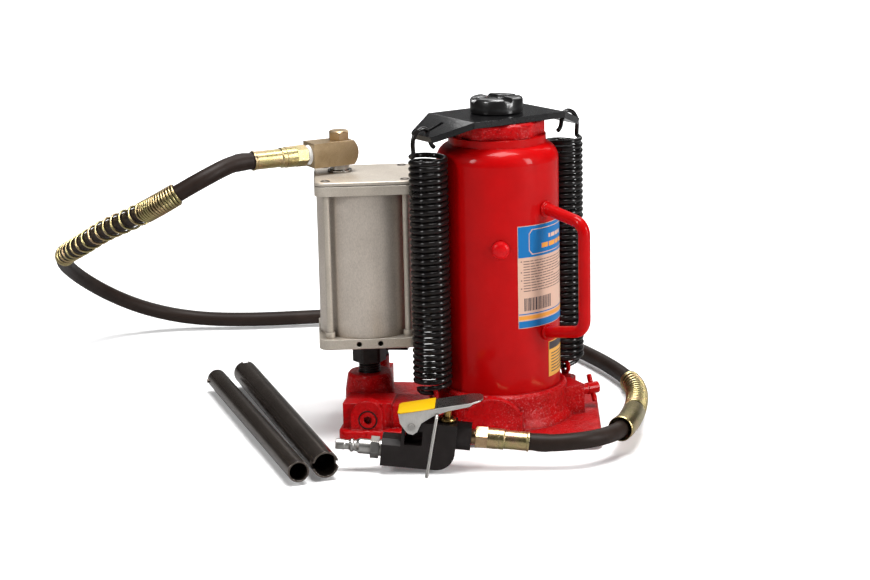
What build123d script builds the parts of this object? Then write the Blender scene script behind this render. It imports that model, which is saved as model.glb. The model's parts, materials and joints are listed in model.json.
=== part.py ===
"""Air-over-hydraulic bottle jack with its air line, trigger valve and two-piece pump handle.

Units are millimetres.  The origin is the ram axis where it meets the floor.
+X runs along the base plate, away from the pumps, +Y points to the back, +Z is up.
"""
import os
from math import cos, radians, sin

from build123d import *

# ---- Driving dimensions -------------------------------------------------------------
JACK_HEIGHT = 260.0          # saddle top with the ram and the screw down
LIFT = 155.0                 # hydraulic stroke of the ram
SCREW_RISE = 80.0            # how far the extension screw winds out
RUN_GAP = 0.05               # radial running clearance between moving pieces
FIT_GAP = 0.05               # radial clearance between fixed nested pieces

# Base casting
PLATE_T = 9.0
PLATE_CORNERS = [(-120.5, -60), (84, -60), (72, 58), (50, 81), (-120.5, 81)]
COLLAR_R = 52.0
COLLAR_TOP = 36.0
COLLAR_FLOOR = 30.0
LUG_R = 63.4                 # radius of the circle that holds both return springs
LUG_ANGLE = 41.0
LUG_TOP = 27.0
PAD_FRONT_Y = -58.0

# Reservoir, cylinder and ram
TUBE_R = 47.0
TUBE_WALL = 3.0
SHOULDER_Z = 212.5
SHOULDER_R = 13.0
NECK_R = 37.6
NECK_TOP = 231.0
CYL_R = 26.0
CYL_BORE_R = 20.0
CYL_BOTTOM = 12.0
CYL_TOP = 236.0
RAM_R = 17.5
RAM_BOTTOM = 20.0
PISTON_TOP = 34.0
RAM_TOP = 242.7
RAM_BORE_R = 12.5
NUT_TOP = 242.4
NUT_FLATS = 67.0
NUT_R = 36.6

FILLER_ANGLE = -82.0
FILLER_Z = 150.0
FILLER_R = 5.0

# Extension screw and saddle
SCREW_R = RAM_BORE_R - RUN_GAP
SCREW_BOTTOM = 140.0
SADDLE_R = 20.3
SADDLE_BOTTOM = 247.8

# Spring bracket and return springs
BRACKET_T = 4.8
BRACKET_TOP = RAM_TOP + BRACKET_T
BRACKET_HALF_W = 31.2
BRACKET_BEND = 42.0
WING_LEN = 29.4
WING_DROP = 20.6             # degrees
WING_TIP_HALF_W = 14.7
SLOT_W = 4.6
SPRING_MEAN_R = 13.1
WIRE_R = 1.65
SPRING_PITCH = 4.7
SPRING_TURNS = 37
SPRING_BOTTOM = 47.0
SPRING_TOP = SPRING_BOTTOM + SPRING_PITCH * SPRING_TURNS
EYE_Z = 35.0
EYE_MAJOR_R = 4.4
EYE_WIRE_R = 1.7

# Air motor
MOTOR_X = -103.7
MOTOR_Y = -2.7
MOTOR_TURN = 11.0
MOTOR_SIDE = 78.0
MOTOR_CORNER_R = 8.0
LOW_PLATE = (69.4, 77.4)
TOP_PLATE = (189.9, 200.4)
BARREL_R = 37.6
BARREL_BORE_R = 35.4
PISTON_GROOVE_R = 32.4
ROD_OFFSET = 30.3
ROD_R = 2.5
STEM_R = 8.5
PUMP_ROD_R = 5.0
PUMP_BOSS_TOP = 41.5
PISTON_BOTTOM = 174.0
PISTON_T = 11.0

# Banjo joint on the air motor
BANJO_X = -124.2
BANJO_Y = 5.4
BANJO_TURN = 36.0
BLOCK_Z = (206.4, 225.4)
BLOCK_LEFT = -26.0
BLOCK_RIGHT = 12.0
BLOCK_W = 20.0

# Air line
HOSE_R = 6.5
HOSE_BORE_R = 3.2
GUARD_R = 8.6
LEFT_GUARD = (0.05, 0.255)     # shares of the hose's free length
RIGHT_GUARD = (0.803, 0.935)
FERRULE_START = 20.6         # from a port face to the ferrule
HOSE_INSIDE = 24.0           # from a port face to the hose's end inside its ferrule
HOSE_RIM = 48.4              # from the motor's port face to the ferrule's rim
VALVE_RIM = 43.8             # the same at the valve, whose ferrule is shorter
LOOP_POINTS = [(-206, -62, 212), (-224, -75, 203), (-247, -76, 190), (-276, -54, 174), (-311, -12, 155),
               (-347, 37, 132), (-374, 87, 114.5), (-392, 130, 98.5), (-400, 170, 81.5), (-398.5, 206, 63),
               (-387, 238, 43), (-364, 263, 24.5), (-328, 281, 11)]
FLOOR_POINTS = [(-280, 289, 6.5), (-190, 307, 6.5), (-100, 309, 6.5), (-30, 279, 6.5), (30, 221, 6.5),
                (75, 152, 6.5), (101.5, 84, 6.5), (105.5, 30, 8.9), (105, -12, 13.6), (102, -48, 16.5),
                (94, -76, 17.3), (79, -95, 17.8), (60, -103.5, 17.5)]

# Trigger valve lying on the floor
VALVE_ORIGIN = (-76.6, -117.1, 14.5)
VALVE_YAW = 5.4
VALVE_PITCH = 5.9            # nose down towards the hose
VALVE_ROLL = -0.8
VALVE_DEPTH = 24.0
VALVE_LEN = 54.5
OUTLET_V = 15.0
OUTLET_END = 65.4
LEVER_PIVOT = (21.1, 22.0)
LEVER_TILT = 14.3
PLUNGER_U = 46.5
LOCK_WIRE_R = 1.25
LOCK_PIVOT = (20.0, 5.8)     # from the lever's pivot
LOCK_TIP = (6.1, -28.7, -34.6)
PLUNGER_TOP = 37.7

# Hand pump behind the air motor
HAND_X = -110.0
HAND_Y = 56.0
HAND_BOSS_TOP = 39.0
HAND_PLUNGER_R = 5.5
FULCRUM_X = HAND_X + 22.9
FULCRUM_Z = 84.0
PIN_ARM = 24.0
PIN_ANGLE = 22.0
SOCKET_BORE_R = 10.3
SOCKET_R = 13.0
SOCKET_TILT = 80.0
SOCKET_LEN = 55.0
SOCKET_FOOT = (-38.0, 26.0)      # tube's closed end, from the fulcrum

# Release valve
RELEASE_ANGLE = 34.0
RELEASE_HEAD = (69.3, 18.5, 24.0)
RELEASE_R = 4.2
BAR_R = 2.0
BAR_TILT = -26.0

# Pump handle in two tubes
HANDLE_LEN = 268.0
THICK_R = 10.0
THICK_BORE_R = 8.6
THIN_R = 8.0
THIN_BORE_R = 6.8


# ---- Helpers -------------------------------------------------------------------------
def disc(radius, z0, z1, at=(0, 0)):
    """Upright solid cylinder between two heights."""
    return Pos(at[0], at[1], (z0 + z1) / 2) * Cylinder(radius, z1 - z0)


def ring(outer, inner, z0, z1, at=(0, 0)):
    """Upright tube between two heights."""
    return disc(outer, z0, z1, at) - disc(inner, z0, z1, at)


def hex_prism(flats, z0, z1, at=(0, 0), turn=0.0):
    """Upright hexagonal prism given by its width across flats."""
    outline = RegularPolygon(flats / 2, 6, major_radius=False)
    return Pos(at[0], at[1], z0) * Rot(0, 0, turn) * extrude(outline, z1 - z0)


def block(x0, x1, y0, y1, z0, z1):
    """Box given by its limits."""
    return Pos((x0 + x1) / 2, (y0 + y1) / 2, (z0 + z1) / 2) * Box(x1 - x0, y1 - y0, z1 - z0)


def turned(points):
    """Solid of revolution about Z from (radius, height) points."""
    outline = Polyline([(r, 0, z) for r, z in points], close=True)
    return revolve(make_face(outline), Axis.Z)


def lying_rod(radius, start, length, direction=0.0, inner=0.0):
    """Horizontal rod or tube that starts at a point and runs along a plan direction."""
    body = Pos(*start) * Rot(0, 0, direction) * Rot(0, 90, 0) * disc(radius, 0, length)
    if inner:
        body -= Pos(*start) * Rot(0, 0, direction) * Rot(0, 90, 0) * disc(inner, 0, length)
    return body


def curved_sheet(r0, r1, angle0, angle1, z0, z1):
    """Thin label that follows the reservoir's wall between two angles."""
    span = angle1 - angle0
    outer = CenterArc((0, 0), r1, angle0, span)
    inner = CenterArc((0, 0), r0, angle0, span)
    sides = [Line(outer @ 0, inner @ 0), Line(outer @ 1, inner @ 1)]
    return Pos(0, 0, z0) * extrude(make_face([outer, inner] + sides), z1 - z0)


def swept_rod(path, radius):
    """Round bar along a path."""
    return sweep(Plane(path @ 0, z_dir=path % 0) * Circle(radius), path=path)


def spin(angle):
    """Turn about the ram axis."""
    return Rot(0, 0, angle)


def in_motor(shape):
    """Place a shape drawn round the air motor's own axis."""
    return Pos(MOTOR_X, MOTOR_Y, 0) * Rot(0, 0, MOTOR_TURN) * shape


def in_banjo(shape):
    """Place a shape drawn round the banjo bolt, with +X away from the hose."""
    return Pos(BANJO_X, BANJO_Y, 0) * Rot(0, 0, BANJO_TURN) * shape


def valve_frame():
    """Frame of the trigger valve: X from inlet to outlet, Z towards the lever."""
    return Pos(*VALVE_ORIGIN) * Rot(0, 0, VALVE_YAW) * Rot(0, VALVE_PITCH, 0) * Rot(VALVE_ROLL, 0, 0)


def in_valve(shape):
    """Place a shape drawn in the valve's frame."""
    return valve_frame() * shape


def along_valve(radius, u0, u1, v=0.0):
    """Cylinder along the valve's X axis."""
    return Pos(u0, 0, v) * Rot(0, 90, 0) * disc(radius, 0, u1 - u0)


def in_release(shape):
    """Place a shape drawn with +X out along the release screw, origin at the T-bar."""
    return Pos(*RELEASE_HEAD) * Rot(0, 0, RELEASE_ANGLE) * shape


def square_pattern(offset):
    """Four corner points of a square."""
    return [(sx * offset, sy * offset) for sx in (-1, 1) for sy in (-1, 1)]


# ---- Base ----------------------------------------------------------------------------
PLUG_HOLES = [(-97.0, -57.0, 17.0, -90.0), (HAND_X, 80.5, 15.0, 90.0)]
PLUG_OIL_DEPTHS = (52.0, 22.0)


def plug_frame(x, y, z, direction):
    """Frame with +X out of a check-valve plug hole."""
    return Pos(x, y, z) * Rot(0, 0, direction)


def make_pump_block():
    """Raised part of the casting that holds both pumps."""
    boss = turned([(0, 0), (20, 0), (19.5, 27), (17.5, PUMP_BOSS_TOP - 2), (16, PUMP_BOSS_TOP),
                   (0, PUMP_BOSS_TOP)])
    body = Pos(MOTOR_X, MOTOR_Y, 0) * boss
    body += block(-117, -79, -53, -22, 0, 29)
    arch = Rectangle(26, 20, align=(Align.CENTER, Align.MIN)) + Pos(0, 19) * Circle(13)
    body += Pos(-97.5, -57, 0) * Rot(90, 0, 0) * extrude(arch, -10)
    body += block(-80, -36, -50, -18, 0, 27)
    body += disc(12.5, 0, HAND_BOSS_TOP, (HAND_X, HAND_Y))
    body += block(-119, -97, MOTOR_Y, HAND_Y, 0, 24)
    body += block(-119.5, -98, HAND_Y, 80.5, 0, 25)
    groove = Pos(-81.5, -55, 18) * Cylinder(4.5, 40)
    return body - groove


def make_base_casting():
    """Cast foot with the collar for the reservoir, the pump block and the spring lugs."""
    plate = extrude(make_face(Polyline(PLATE_CORNERS, close=True)), PLATE_T)
    plate = fillet(plate.edges().filter_by(Axis.Z), 9)
    plate = fillet(plate.faces().sort_by(Axis.Z)[-1].edges(), 2.5)
    collar = turned([(0, 0), (58, 0), (56.5, 10), (53.5, 16), (COLLAR_R + 0.4, 24), (COLLAR_R, COLLAR_TOP - 2),
                     (COLLAR_R - 2, COLLAR_TOP), (0, COLLAR_TOP)])
    body = plate + collar
    pad = Rectangle(45, 24, align=(Align.CENTER, Align.MIN)) + Pos(0, 12) * Circle(23.7)
    pad = pad & Rectangle(45, COLLAR_TOP, align=(Align.CENTER, Align.MIN))
    body += Pos(0, PAD_FRONT_Y, 0) * Rot(90, 0, 0) * extrude(pad, -22)
    for side in (0, 180):
        lug = disc(8.5, 0, LUG_TOP, (LUG_R, 0)) + block(40, LUG_R, -8.5, 8.5, 0, LUG_TOP)
        body += spin(LUG_ANGLE + side) * lug
    body += in_release(block(-42, -12, -12, 12, -24, 8))
    body += make_pump_block()
    body -= disc(TUBE_R + FIT_GAP, COLLAR_FLOOR, 80)
    body -= disc(CYL_R + FIT_GAP, CYL_BOTTOM - 2, 80)
    for side in (0, 180):
        body -= spin(LUG_ANGLE + side) * disc(3 + FIT_GAP, 8, 60, (LUG_R, 0))
    return body - base_drillings()


def base_drillings():
    """Bores and oil ways that are cut into the casting."""
    pump = (MOTOR_X, MOTOR_Y)
    hand = (HAND_X, HAND_Y)
    cut = disc(STEM_R + FIT_GAP, 20, 60, pump) + disc(PUMP_ROD_R + 0.5, 8, 30, pump)
    cut += disc(9.5 + FIT_GAP, 20, 60, hand) + disc(HAND_PLUNGER_R + 0.5, 8, 30, hand)
    for place, depth in zip(PLUG_HOLES, PLUG_OIL_DEPTHS):
        hole = disc(7.5, -2, 5) + disc(5.5 + FIT_GAP, -15, 0) + disc(1.6, -depth, -14)
        cut += plug_frame(*place) * Rot(0, 90, 0) * hole
    gallery = Pos(MOTOR_X, MOTOR_Y, 11) * Rot(0, 0, 6) * Rot(0, 90, 0) * disc(1.6, 0, 80)
    cut += gallery
    cut += Pos(HAND_X, HAND_Y, 11) * Rot(0, 0, -27.0) * Rot(0, 90, 0) * disc(1.6, 0, 100)
    release = Rot(0, 90, 0) * (disc(RELEASE_R + RUN_GAP, -39.6, 5) + disc(2, -60, -30))
    return cut + in_release(release)


def make_eye_bolts():
    """Two eyes that anchor the lower ends of the return springs."""
    eye = Pos(LUG_R, 0, EYE_Z) * Rot(0, 90, 0) * Torus(EYE_MAJOR_R, EYE_WIRE_R)
    eye += disc(3, 9, EYE_Z - EYE_MAJOR_R, (LUG_R, 0))
    eye += disc(4.4, LUG_TOP, LUG_TOP + 1.6, (LUG_R, 0))
    return [spin(LUG_ANGLE + side) * eye for side in (0, 180)]


def make_plugs():
    """Hexagon-socket plugs that close the two check-valve bores."""
    plug = Rot(0, 90, 0) * (disc(6.3, -2, 0.6) + disc(5.5, -6.2, -1.5))
    plug -= Rot(0, 90, 0) * hex_prism(6, -3.6, 1)
    return [plug_frame(*hole) * plug for hole in PLUG_HOLES]


def make_plug_orings():
    """Face seals round the plug heads."""
    return [plug_frame(*hole) * Pos(-0.4, 0, 0) * Rot(0, 90, 0) * Torus(6.92, 0.55) for hole in PLUG_HOLES]


def make_check_balls():
    """Balls of the two discharge check valves and of the release valve."""
    balls = [plug_frame(*hole) * Pos(-11.6, 0, 0) * Sphere(3.1) for hole in PLUG_HOLES]
    return balls + [in_release(Pos(-36.3, 0, 0) * Sphere(3.1))]


def make_check_springs():
    """Coils that hold the check balls on their seats, as sleeves."""
    sleeve = Rot(0, 90, 0) * ring(2.9, 2.0, -8.4, -6.3)
    return [plug_frame(*hole) * sleeve for hole in PLUG_HOLES]


# ---- Reservoir, cylinder and ram -----------------------------------------------------
def make_reservoir_tube():
    """Reservoir with a rounded shoulder, a neck and the filler hole."""
    inner_r = TUBE_R - TUBE_WALL
    centre_r = TUBE_R - SHOULDER_R
    outline = [
        Line((TUBE_R, 0, COLLAR_FLOOR + 0.2), (TUBE_R, 0, SHOULDER_Z)),
        Line((centre_r, 0, SHOULDER_Z + SHOULDER_R), (centre_r - 0.4, 0, SHOULDER_Z + SHOULDER_R)),
    ]
    outer_arc = ThreePointArc(
        (TUBE_R, 0, SHOULDER_Z),
        (centre_r + SHOULDER_R * cos(radians(45)), 0, SHOULDER_Z + SHOULDER_R * sin(radians(45))),
        (centre_r, 0, SHOULDER_Z + SHOULDER_R),
    )
    small = SHOULDER_R - TUBE_WALL
    inner_arc = ThreePointArc(
        (inner_r, 0, SHOULDER_Z),
        (centre_r + small * cos(radians(45)), 0, SHOULDER_Z + small * sin(radians(45))),
        (centre_r, 0, SHOULDER_Z + small),
    )
    edge_r = centre_r - 0.4
    outline += [
        outer_arc,
        Line((edge_r, 0, SHOULDER_Z + SHOULDER_R), (edge_r, 0, SHOULDER_Z + small)),
        Line((edge_r, 0, SHOULDER_Z + small), (centre_r, 0, SHOULDER_Z + small)),
        inner_arc,
        Line((inner_r, 0, SHOULDER_Z), (inner_r, 0, COLLAR_FLOOR + 0.2)),
        Line((inner_r, 0, COLLAR_FLOOR + 0.2), (TUBE_R, 0, COLLAR_FLOOR + 0.2)),
    ]
    shell = revolve(make_face(outline), Axis.Z)
    shell += ring(NECK_R, 30, SHOULDER_Z + small, NECK_TOP)
    hole = spin(FILLER_ANGLE) * Pos(TUBE_R, 0, FILLER_Z) * Rot(0, 90, 0) * Cylinder(FILLER_R, 20)
    return shell - hole


def make_filler_plug():
    """Domed rubber plug of the filler hole."""
    stem_r = FILLER_R - RUN_GAP
    dome = [(0, -5), (stem_r, -5), (stem_r, 0.3), (6.7, 0.3), (6.7, 2.2), (6.0, 3.5), (4.6, 4.5), (2.4, 5.1),
            (0, 5.3)]
    return spin(FILLER_ANGLE) * Pos(TUBE_R, 0, FILLER_Z) * Rot(0, 90, 0) * turned(dome)


def make_carry_handle():
    """Bent rod welded to the reservoir, with its two weld beads."""
    path = FilletPolyline((45, 0, 178.5), (84.2, 0, 170.2), (84.2, 0, 87.2), (45, 0, 80.6), radius=11)
    rod = swept_rod(path, 4.6)
    for z in (177.8, 81.2):
        rod += Pos(TUBE_R + 0.8, 0, z) * Rot(0, 90, 0) * Torus(4.6, 1.5)
    rod -= disc(TUBE_R + 0.03, 60, 200)
    return spin(-34) * rod


def make_labels():
    """Main label and the smaller caution label on the reservoir."""
    inner = TUBE_R + 0.03
    front = curved_sheet(inner, inner + 0.2, -66, 20, 87.5, 167)
    caution = curved_sheet(inner, inner + 0.2, -31, 16, 45, 73)
    return front, caution


def make_hydraulic_cylinder():
    """Pressure cylinder, open at both ends."""
    return ring(CYL_R, CYL_BORE_R, CYL_BOTTOM, CYL_TOP)


def make_ram():
    """Hollow ram with its piston."""
    body = disc(RAM_R, RAM_BOTTOM, RAM_TOP) + disc(CYL_BORE_R - RUN_GAP, RAM_BOTTOM, PISTON_TOP)
    body -= ring(CYL_BORE_R + 1, RAM_R, 24, 30)
    return body - disc(RAM_BORE_R, 58, RAM_TOP + 1)


def make_gland_sleeve():
    """Guide and upper stop of the ram, inside the cylinder."""
    return ring(CYL_BORE_R - FIT_GAP, RAM_R + RUN_GAP, PISTON_TOP + LIFT + 0.5, NECK_TOP)


def make_top_nut():
    """Rough cast hexagonal gland nut that clamps the reservoir."""
    body = hex_prism(NUT_FLATS, NECK_TOP, NUT_TOP, turn=12) & disc(NUT_R, NECK_TOP, NUT_TOP)
    body -= disc(CYL_R + FIT_GAP, NECK_TOP - 1, CYL_TOP + 0.2)
    body -= disc(21, CYL_TOP, CYL_TOP + 3)
    top = body.faces().sort_by(Axis.Z)[-1]
    body = chamfer(top.edges(), 1.6)
    return body - disc(RAM_R + RUN_GAP, NECK_TOP, NUT_TOP + 1)


def make_extension_screw():
    """Extension screw with the cross-grooved saddle as its head."""
    shaft = disc(SCREW_R, SCREW_BOTTOM, SADDLE_BOTTOM)
    head = turned([(0, SADDLE_BOTTOM), (SADDLE_R - 1, SADDLE_BOTTOM), (SADDLE_R, SADDLE_BOTTOM + 1),
                   (SADDLE_R, JACK_HEIGHT - 2.4), (SADDLE_R - 2.4, JACK_HEIGHT), (0, JACK_HEIGHT)])
    for turn in (35, 125):
        groove = Pos(0, 0, JACK_HEIGHT + 0.6) * Rot(0, 0, turn) * Rot(0, 90, 0) * Cylinder(4.2, 60)
        head -= groove
    return shaft + head


def make_screw_stop_ring():
    """Snap ring at the foot of the screw."""
    return ring(RAM_BORE_R - RUN_GAP, 6, SCREW_BOTTOM - 3.2, SCREW_BOTTOM - 0.2)


# ---- Spring bracket and return springs -----------------------------------------------
def make_spring_bracket():
    """Bent plate that hangs both return springs from the ram."""
    half = BRACKET_HALF_W
    plate = block(-BRACKET_BEND, BRACKET_BEND, -half, half, BRACKET_TOP - BRACKET_T, BRACKET_TOP)
    outline = Polyline([(0, -half), (WING_LEN - 3, -WING_TIP_HALF_W - 1.5), (WING_LEN, -WING_TIP_HALF_W + 1.5),
                        (WING_LEN, WING_TIP_HALF_W - 1.5), (WING_LEN - 3, WING_TIP_HALF_W + 1.5), (0, half)],
                       close=True)
    wing = extrude(make_face(outline), -BRACKET_T)
    slot_start = 49.8 - BRACKET_BEND
    slot_end = 67.2 - BRACKET_BEND
    slot = Pos((slot_start + slot_end) / 2, 0, -BRACKET_T / 2) * extrude(
        SlotOverall(slot_end - slot_start, SLOT_W), BRACKET_T * 2, both=True)
    wing -= slot
    wing = Pos(BRACKET_BEND, 0, BRACKET_TOP) * Rot(0, WING_DROP, 0) * wing
    body = plate + wing + Rot(0, 0, 180) * wing
    body -= disc(SCREW_R + 1.2, RAM_TOP - 5, BRACKET_TOP + 5)
    return spin(LUG_ANGLE) * body


def spring_place(side):
    """Frame on a spring's axis with +X pointing away from the ram."""
    return spin(LUG_ANGLE + side) * Pos(LUG_R, 0, 0)


def make_return_spring(side):
    """Extension spring as a sleeve of the coil's size, with an open hook at each end."""
    outer = SPRING_MEAN_R + WIRE_R
    sleeve = ring(outer, outer - 2 * WIRE_R, SPRING_BOTTOM - WIRE_R, SPRING_TOP + WIRE_R)
    top = Spline((SPRING_MEAN_R, 0, SPRING_TOP + 1.7), (13.5, 0, 229), (12.8, 0, 234.5), (10.2, 0, 239.2),
                 (6.6, 0, 241.6), (2.8, 0, 241.9), (-0.2, 0, 239.8), (-1.7, 0, 236), (-2.2, 0, 232),
                 (-4.6, 0, 228))
    bottom = Spline((SPRING_MEAN_R, 0, SPRING_BOTTOM - 1.7), (10, 0, 40.5), (4.5, 0, 36), (-0.5, 0, 35.4),
                    (-4.5, 0, 38))
    body = sleeve + swept_rod(top, WIRE_R) + swept_rod(bottom, WIRE_R)
    return spring_place(side) * body


# ---- Air motor -----------------------------------------------------------------------
def motor_plate(z0, z1, side, radius=MOTOR_CORNER_R):
    """Square plate with rounded corners on the motor's axis."""
    return Pos(0, 0, z0) * extrude(RectangleRounded(side, side, radius), z1 - z0)


def make_motor_bottom_plate():
    """Lower end plate with its two vent holes."""
    z0, z1 = LOW_PLATE
    body = motor_plate(z0, z1, MOTOR_SIDE)
    body = fillet(body.faces().sort_by(Axis.Z)[0].edges(), 1.0)
    body -= disc(STEM_R + FIT_GAP, z0 - 1, z1 + 1)
    body -= ring(BARREL_R + FIT_GAP, BARREL_BORE_R - FIT_GAP, z1 - 2, z1 + 1)
    for x, y in square_pattern(ROD_OFFSET):
        body -= disc(ROD_R + FIT_GAP, z0 - 1, z1 + 1, (x, y))
    for x in (-8.3, 8.3):
        body -= Pos(x, -MOTOR_SIDE / 2, (z0 + z1) / 2) * Rot(90, 0, 0) * Cylinder(2.1, 28)
        body -= disc(1.8, (z0 + z1) / 2, z1 + 1, (x, -MOTOR_SIDE / 2 + 12.5))
    return in_motor(body)


def make_motor_top_plate():
    """Upper end plate with a stepped rim and the air inlet."""
    z0, z1 = TOP_PLATE
    step = z1 - 3.3
    body = motor_plate(z0, step, MOTOR_SIDE)
    upper = motor_plate(step + 0.7, z1, MOTOR_SIDE - 0.8)
    upper = fillet(upper.faces().sort_by(Axis.Z)[-1].edges(), 1.2)
    body += motor_plate(step, step + 0.7, MOTOR_SIDE - 2.2) + upper
    body -= ring(BARREL_R + FIT_GAP, BARREL_BORE_R - FIT_GAP, z0 - 1, z0 + 2)
    for x, y in square_pattern(ROD_OFFSET):
        body -= disc(ROD_R + FIT_GAP, z0 - 1, z1 + 1, (x, y))
    body = in_motor(body)
    return body - disc(5.9 + FIT_GAP, z0 - 1, z1 + 1, (BANJO_X, BANJO_Y))


def make_air_barrel():
    """Barrel of the air motor."""
    return in_motor(ring(BARREL_R, BARREL_BORE_R, LOW_PLATE[1] - 1.9, TOP_PLATE[0] + 1.9))


def make_tie_rods():
    """Four rods that clamp the end plates, peened flush with the top plate."""
    rods = []
    for x, y in square_pattern(ROD_OFFSET):
        rods.append(in_motor(disc(ROD_R, LOW_PLATE[0] + 0.6, TOP_PLATE[1] - 0.3, (x, y))))
    return rods


def make_tie_rod_collars():
    """Four shouldered collars where the rods enter the lower plate."""
    collars = []
    for x, y in square_pattern(ROD_OFFSET):
        collar = ring(3.8, ROD_R + FIT_GAP, LOW_PLATE[1], LOW_PLATE[1] + 4.5, (x, y))
        collars.append(in_motor(collar))
    return collars


def make_motor_stem():
    """Threaded stem that carries the motor and guides the pump rod."""
    z_head = LOW_PLATE[1]
    body = disc(STEM_R, 20.5, z_head + 0.2) + disc(12, z_head + 0.1, z_head + 3.5)
    body -= disc(PUMP_ROD_R + RUN_GAP, 19, z_head + 5)
    return in_motor(body)


def make_stem_nut():
    """Lock nut under the air motor."""
    body = hex_prism(24, 50.5, LOW_PLATE[0] - 0.1, turn=2) & disc(13.2, 50.5, LOW_PLATE[0])
    return in_motor(body - disc(STEM_R + FIT_GAP, 50, 80))


def make_air_piston():
    """Air piston with its seal groove."""
    top = PISTON_BOTTOM + PISTON_T
    body = disc(BARREL_BORE_R - 0.4, PISTON_BOTTOM, top)
    body -= ring(BARREL_BORE_R + 1, PISTON_GROOVE_R, PISTON_BOTTOM + 3.5, top - 4)
    return in_motor(body - disc(3, PISTON_BOTTOM - 1, PISTON_BOTTOM + 4))


def make_air_piston_seal():
    """Lip seal of the air piston."""
    return in_motor(ring(BARREL_BORE_R - RUN_GAP, PISTON_GROOVE_R + RUN_GAP, PISTON_BOTTOM + 3.6,
                         PISTON_BOTTOM + 6.9))


def make_pump_rod():
    """Rod driven by the air piston; its lower end is the pump plunger."""
    return in_motor(disc(PUMP_ROD_R, 36, PISTON_BOTTOM - 0.05) + disc(2.95, 170, PISTON_BOTTOM + 3.5))


def make_air_return_spring():
    """Coil that lifts the air piston again, as a sleeve."""
    return in_motor(ring(16.2, 13.8, LOW_PLATE[1] + 3.6, PISTON_BOTTOM - 0.1))


# ---- Banjo joint and hose ends -------------------------------------------------------
def make_banjo_block():
    """Banjo block: square at the hose end, rounded at the other."""
    z0, z1 = BLOCK_Z
    half = BLOCK_W / 2
    body = block(BLOCK_LEFT, BLOCK_RIGHT, -half, half, z0, z1)
    middle = (z0 + z1) / 2
    end = Pos(BLOCK_RIGHT - 13.3, 0, middle) * Rot(90, 0, 0) * Cylinder(13.3, BLOCK_W)
    body = body & (end + block(BLOCK_LEFT, BLOCK_RIGHT - 9, -half, half, z0, z1))
    body -= disc(5.9 + RUN_GAP, z0 - 1, z1 + 1)
    body -= Pos(BLOCK_LEFT - 1, 0, middle) * Rot(0, 90, 0) * disc(5, 0, 12)
    body -= Pos(BLOCK_LEFT, 0, middle) * Rot(0, 90, 0) * disc(3, 0, 24)
    return in_banjo(body)


def make_banjo_bolt():
    """Hollow hexagon-head bolt through the banjo block."""
    z0 = TOP_PLATE[0]
    z1 = BLOCK_Z[1]
    head = hex_prism(14.6, z1 + 0.1, z1 + 7.2, turn=8) & turned(
        [(0, z1), (8.6, z1), (8.6, z1 + 5.8), (7.0, z1 + 7.2), (0, z1 + 7.2)])
    body = disc(5.9, z0, z1 + 0.2) + head
    body -= disc(2, z0 - 1, z1 - 7)
    body -= Pos(0, 0, (BLOCK_Z[0] + z1) / 2) * Rot(0, 90, 0) * Cylinder(2, 20)
    return in_banjo(body)


def make_banjo_washers():
    """Flat seal washer on the motor and the neck ring under the block."""
    top = TOP_PLATE[1]
    washer = ring(9.5, 6, top, top + 1.7)
    neck = ring(7.4, 6, top + 1.75, BLOCK_Z[0] - 0.05)
    return [in_banjo(washer), in_banjo(neck)]


def hose_fitting(flats, collar_r):
    """Neck, hexagon and collar along +X from the port face at X = 0."""
    body = Rot(0, 90, 0) * (disc(5.6, 0, 3.2) + hex_prism(flats, 3.2, 12, turn=12) + disc(collar_r, 12, 20.5))
    body += Rot(0, 90, 0) * (disc(4.8, -8, 0) + disc(2.9, 20, 38))
    return body - Rot(0, 90, 0) * disc(1.9, -10, 40)


def hose_ferrule(rim):
    """Crimped ferrule along +X, starting behind the fitting's collar."""
    end = rim - FERRULE_START - 0.8
    profile = [(6.6, 0), (7.8, 0), (7.8, 3.5), (7.1, 4.4), (7.1, end - 2), (7.6, end - 1.2), (7.6, end),
               (6.6, end)]
    return Pos(FERRULE_START, 0, 0) * Rot(0, 90, 0) * turned(profile)


def motor_hose_place():
    """Frame at the banjo block's port, +X pointing along the hose."""
    middle = (BLOCK_Z[0] + BLOCK_Z[1]) / 2
    return Pos(BANJO_X, BANJO_Y, middle) * Rot(0, 0, BANJO_TURN + 180) * Pos(-BLOCK_LEFT, 0, 0)


def valve_hose_place():
    """Frame at the valve's outlet, +X pointing along the hose."""
    return valve_frame() * Pos(OUTLET_END, 0, OUTLET_V)


def make_thread_tape():
    """White sealing tape squeezed out of the banjo block's port."""
    body = Rot(0, 90, 0) * turned([(5.65, 0.05), (7.6, 0.05), (7.2, 2.2), (6.2, 3.1), (5.65, 3.1)])
    return motor_hose_place() * body


# ---- Air line ------------------------------------------------------------------------
def along_hose(place, distance):
    """Point on the straight line out of a hose fitting."""
    point = (place * Pos(distance, 0, 0)).position
    return point.X, point.Y, point.Z


def hose_path():
    """Centre line from rim to rim: a loop in the air on the left, then round the back to the valve."""
    start = [along_hose(motor_hose_place(), distance) for distance in (HOSE_RIM, HOSE_RIM + 8)]
    end = [along_hose(valve_hose_place(), distance) for distance in (VALVE_RIM + 8, VALVE_RIM)]
    return Spline(*(start + LOOP_POINTS + FLOOR_POINTS + end))


def swept_hose(path, radius):
    """Round bar that keeps its section square to a path that bends in space."""
    return sweep(Plane(path @ 0, z_dir=path % 0) * Circle(radius), path=path, is_frenet=True)


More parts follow.
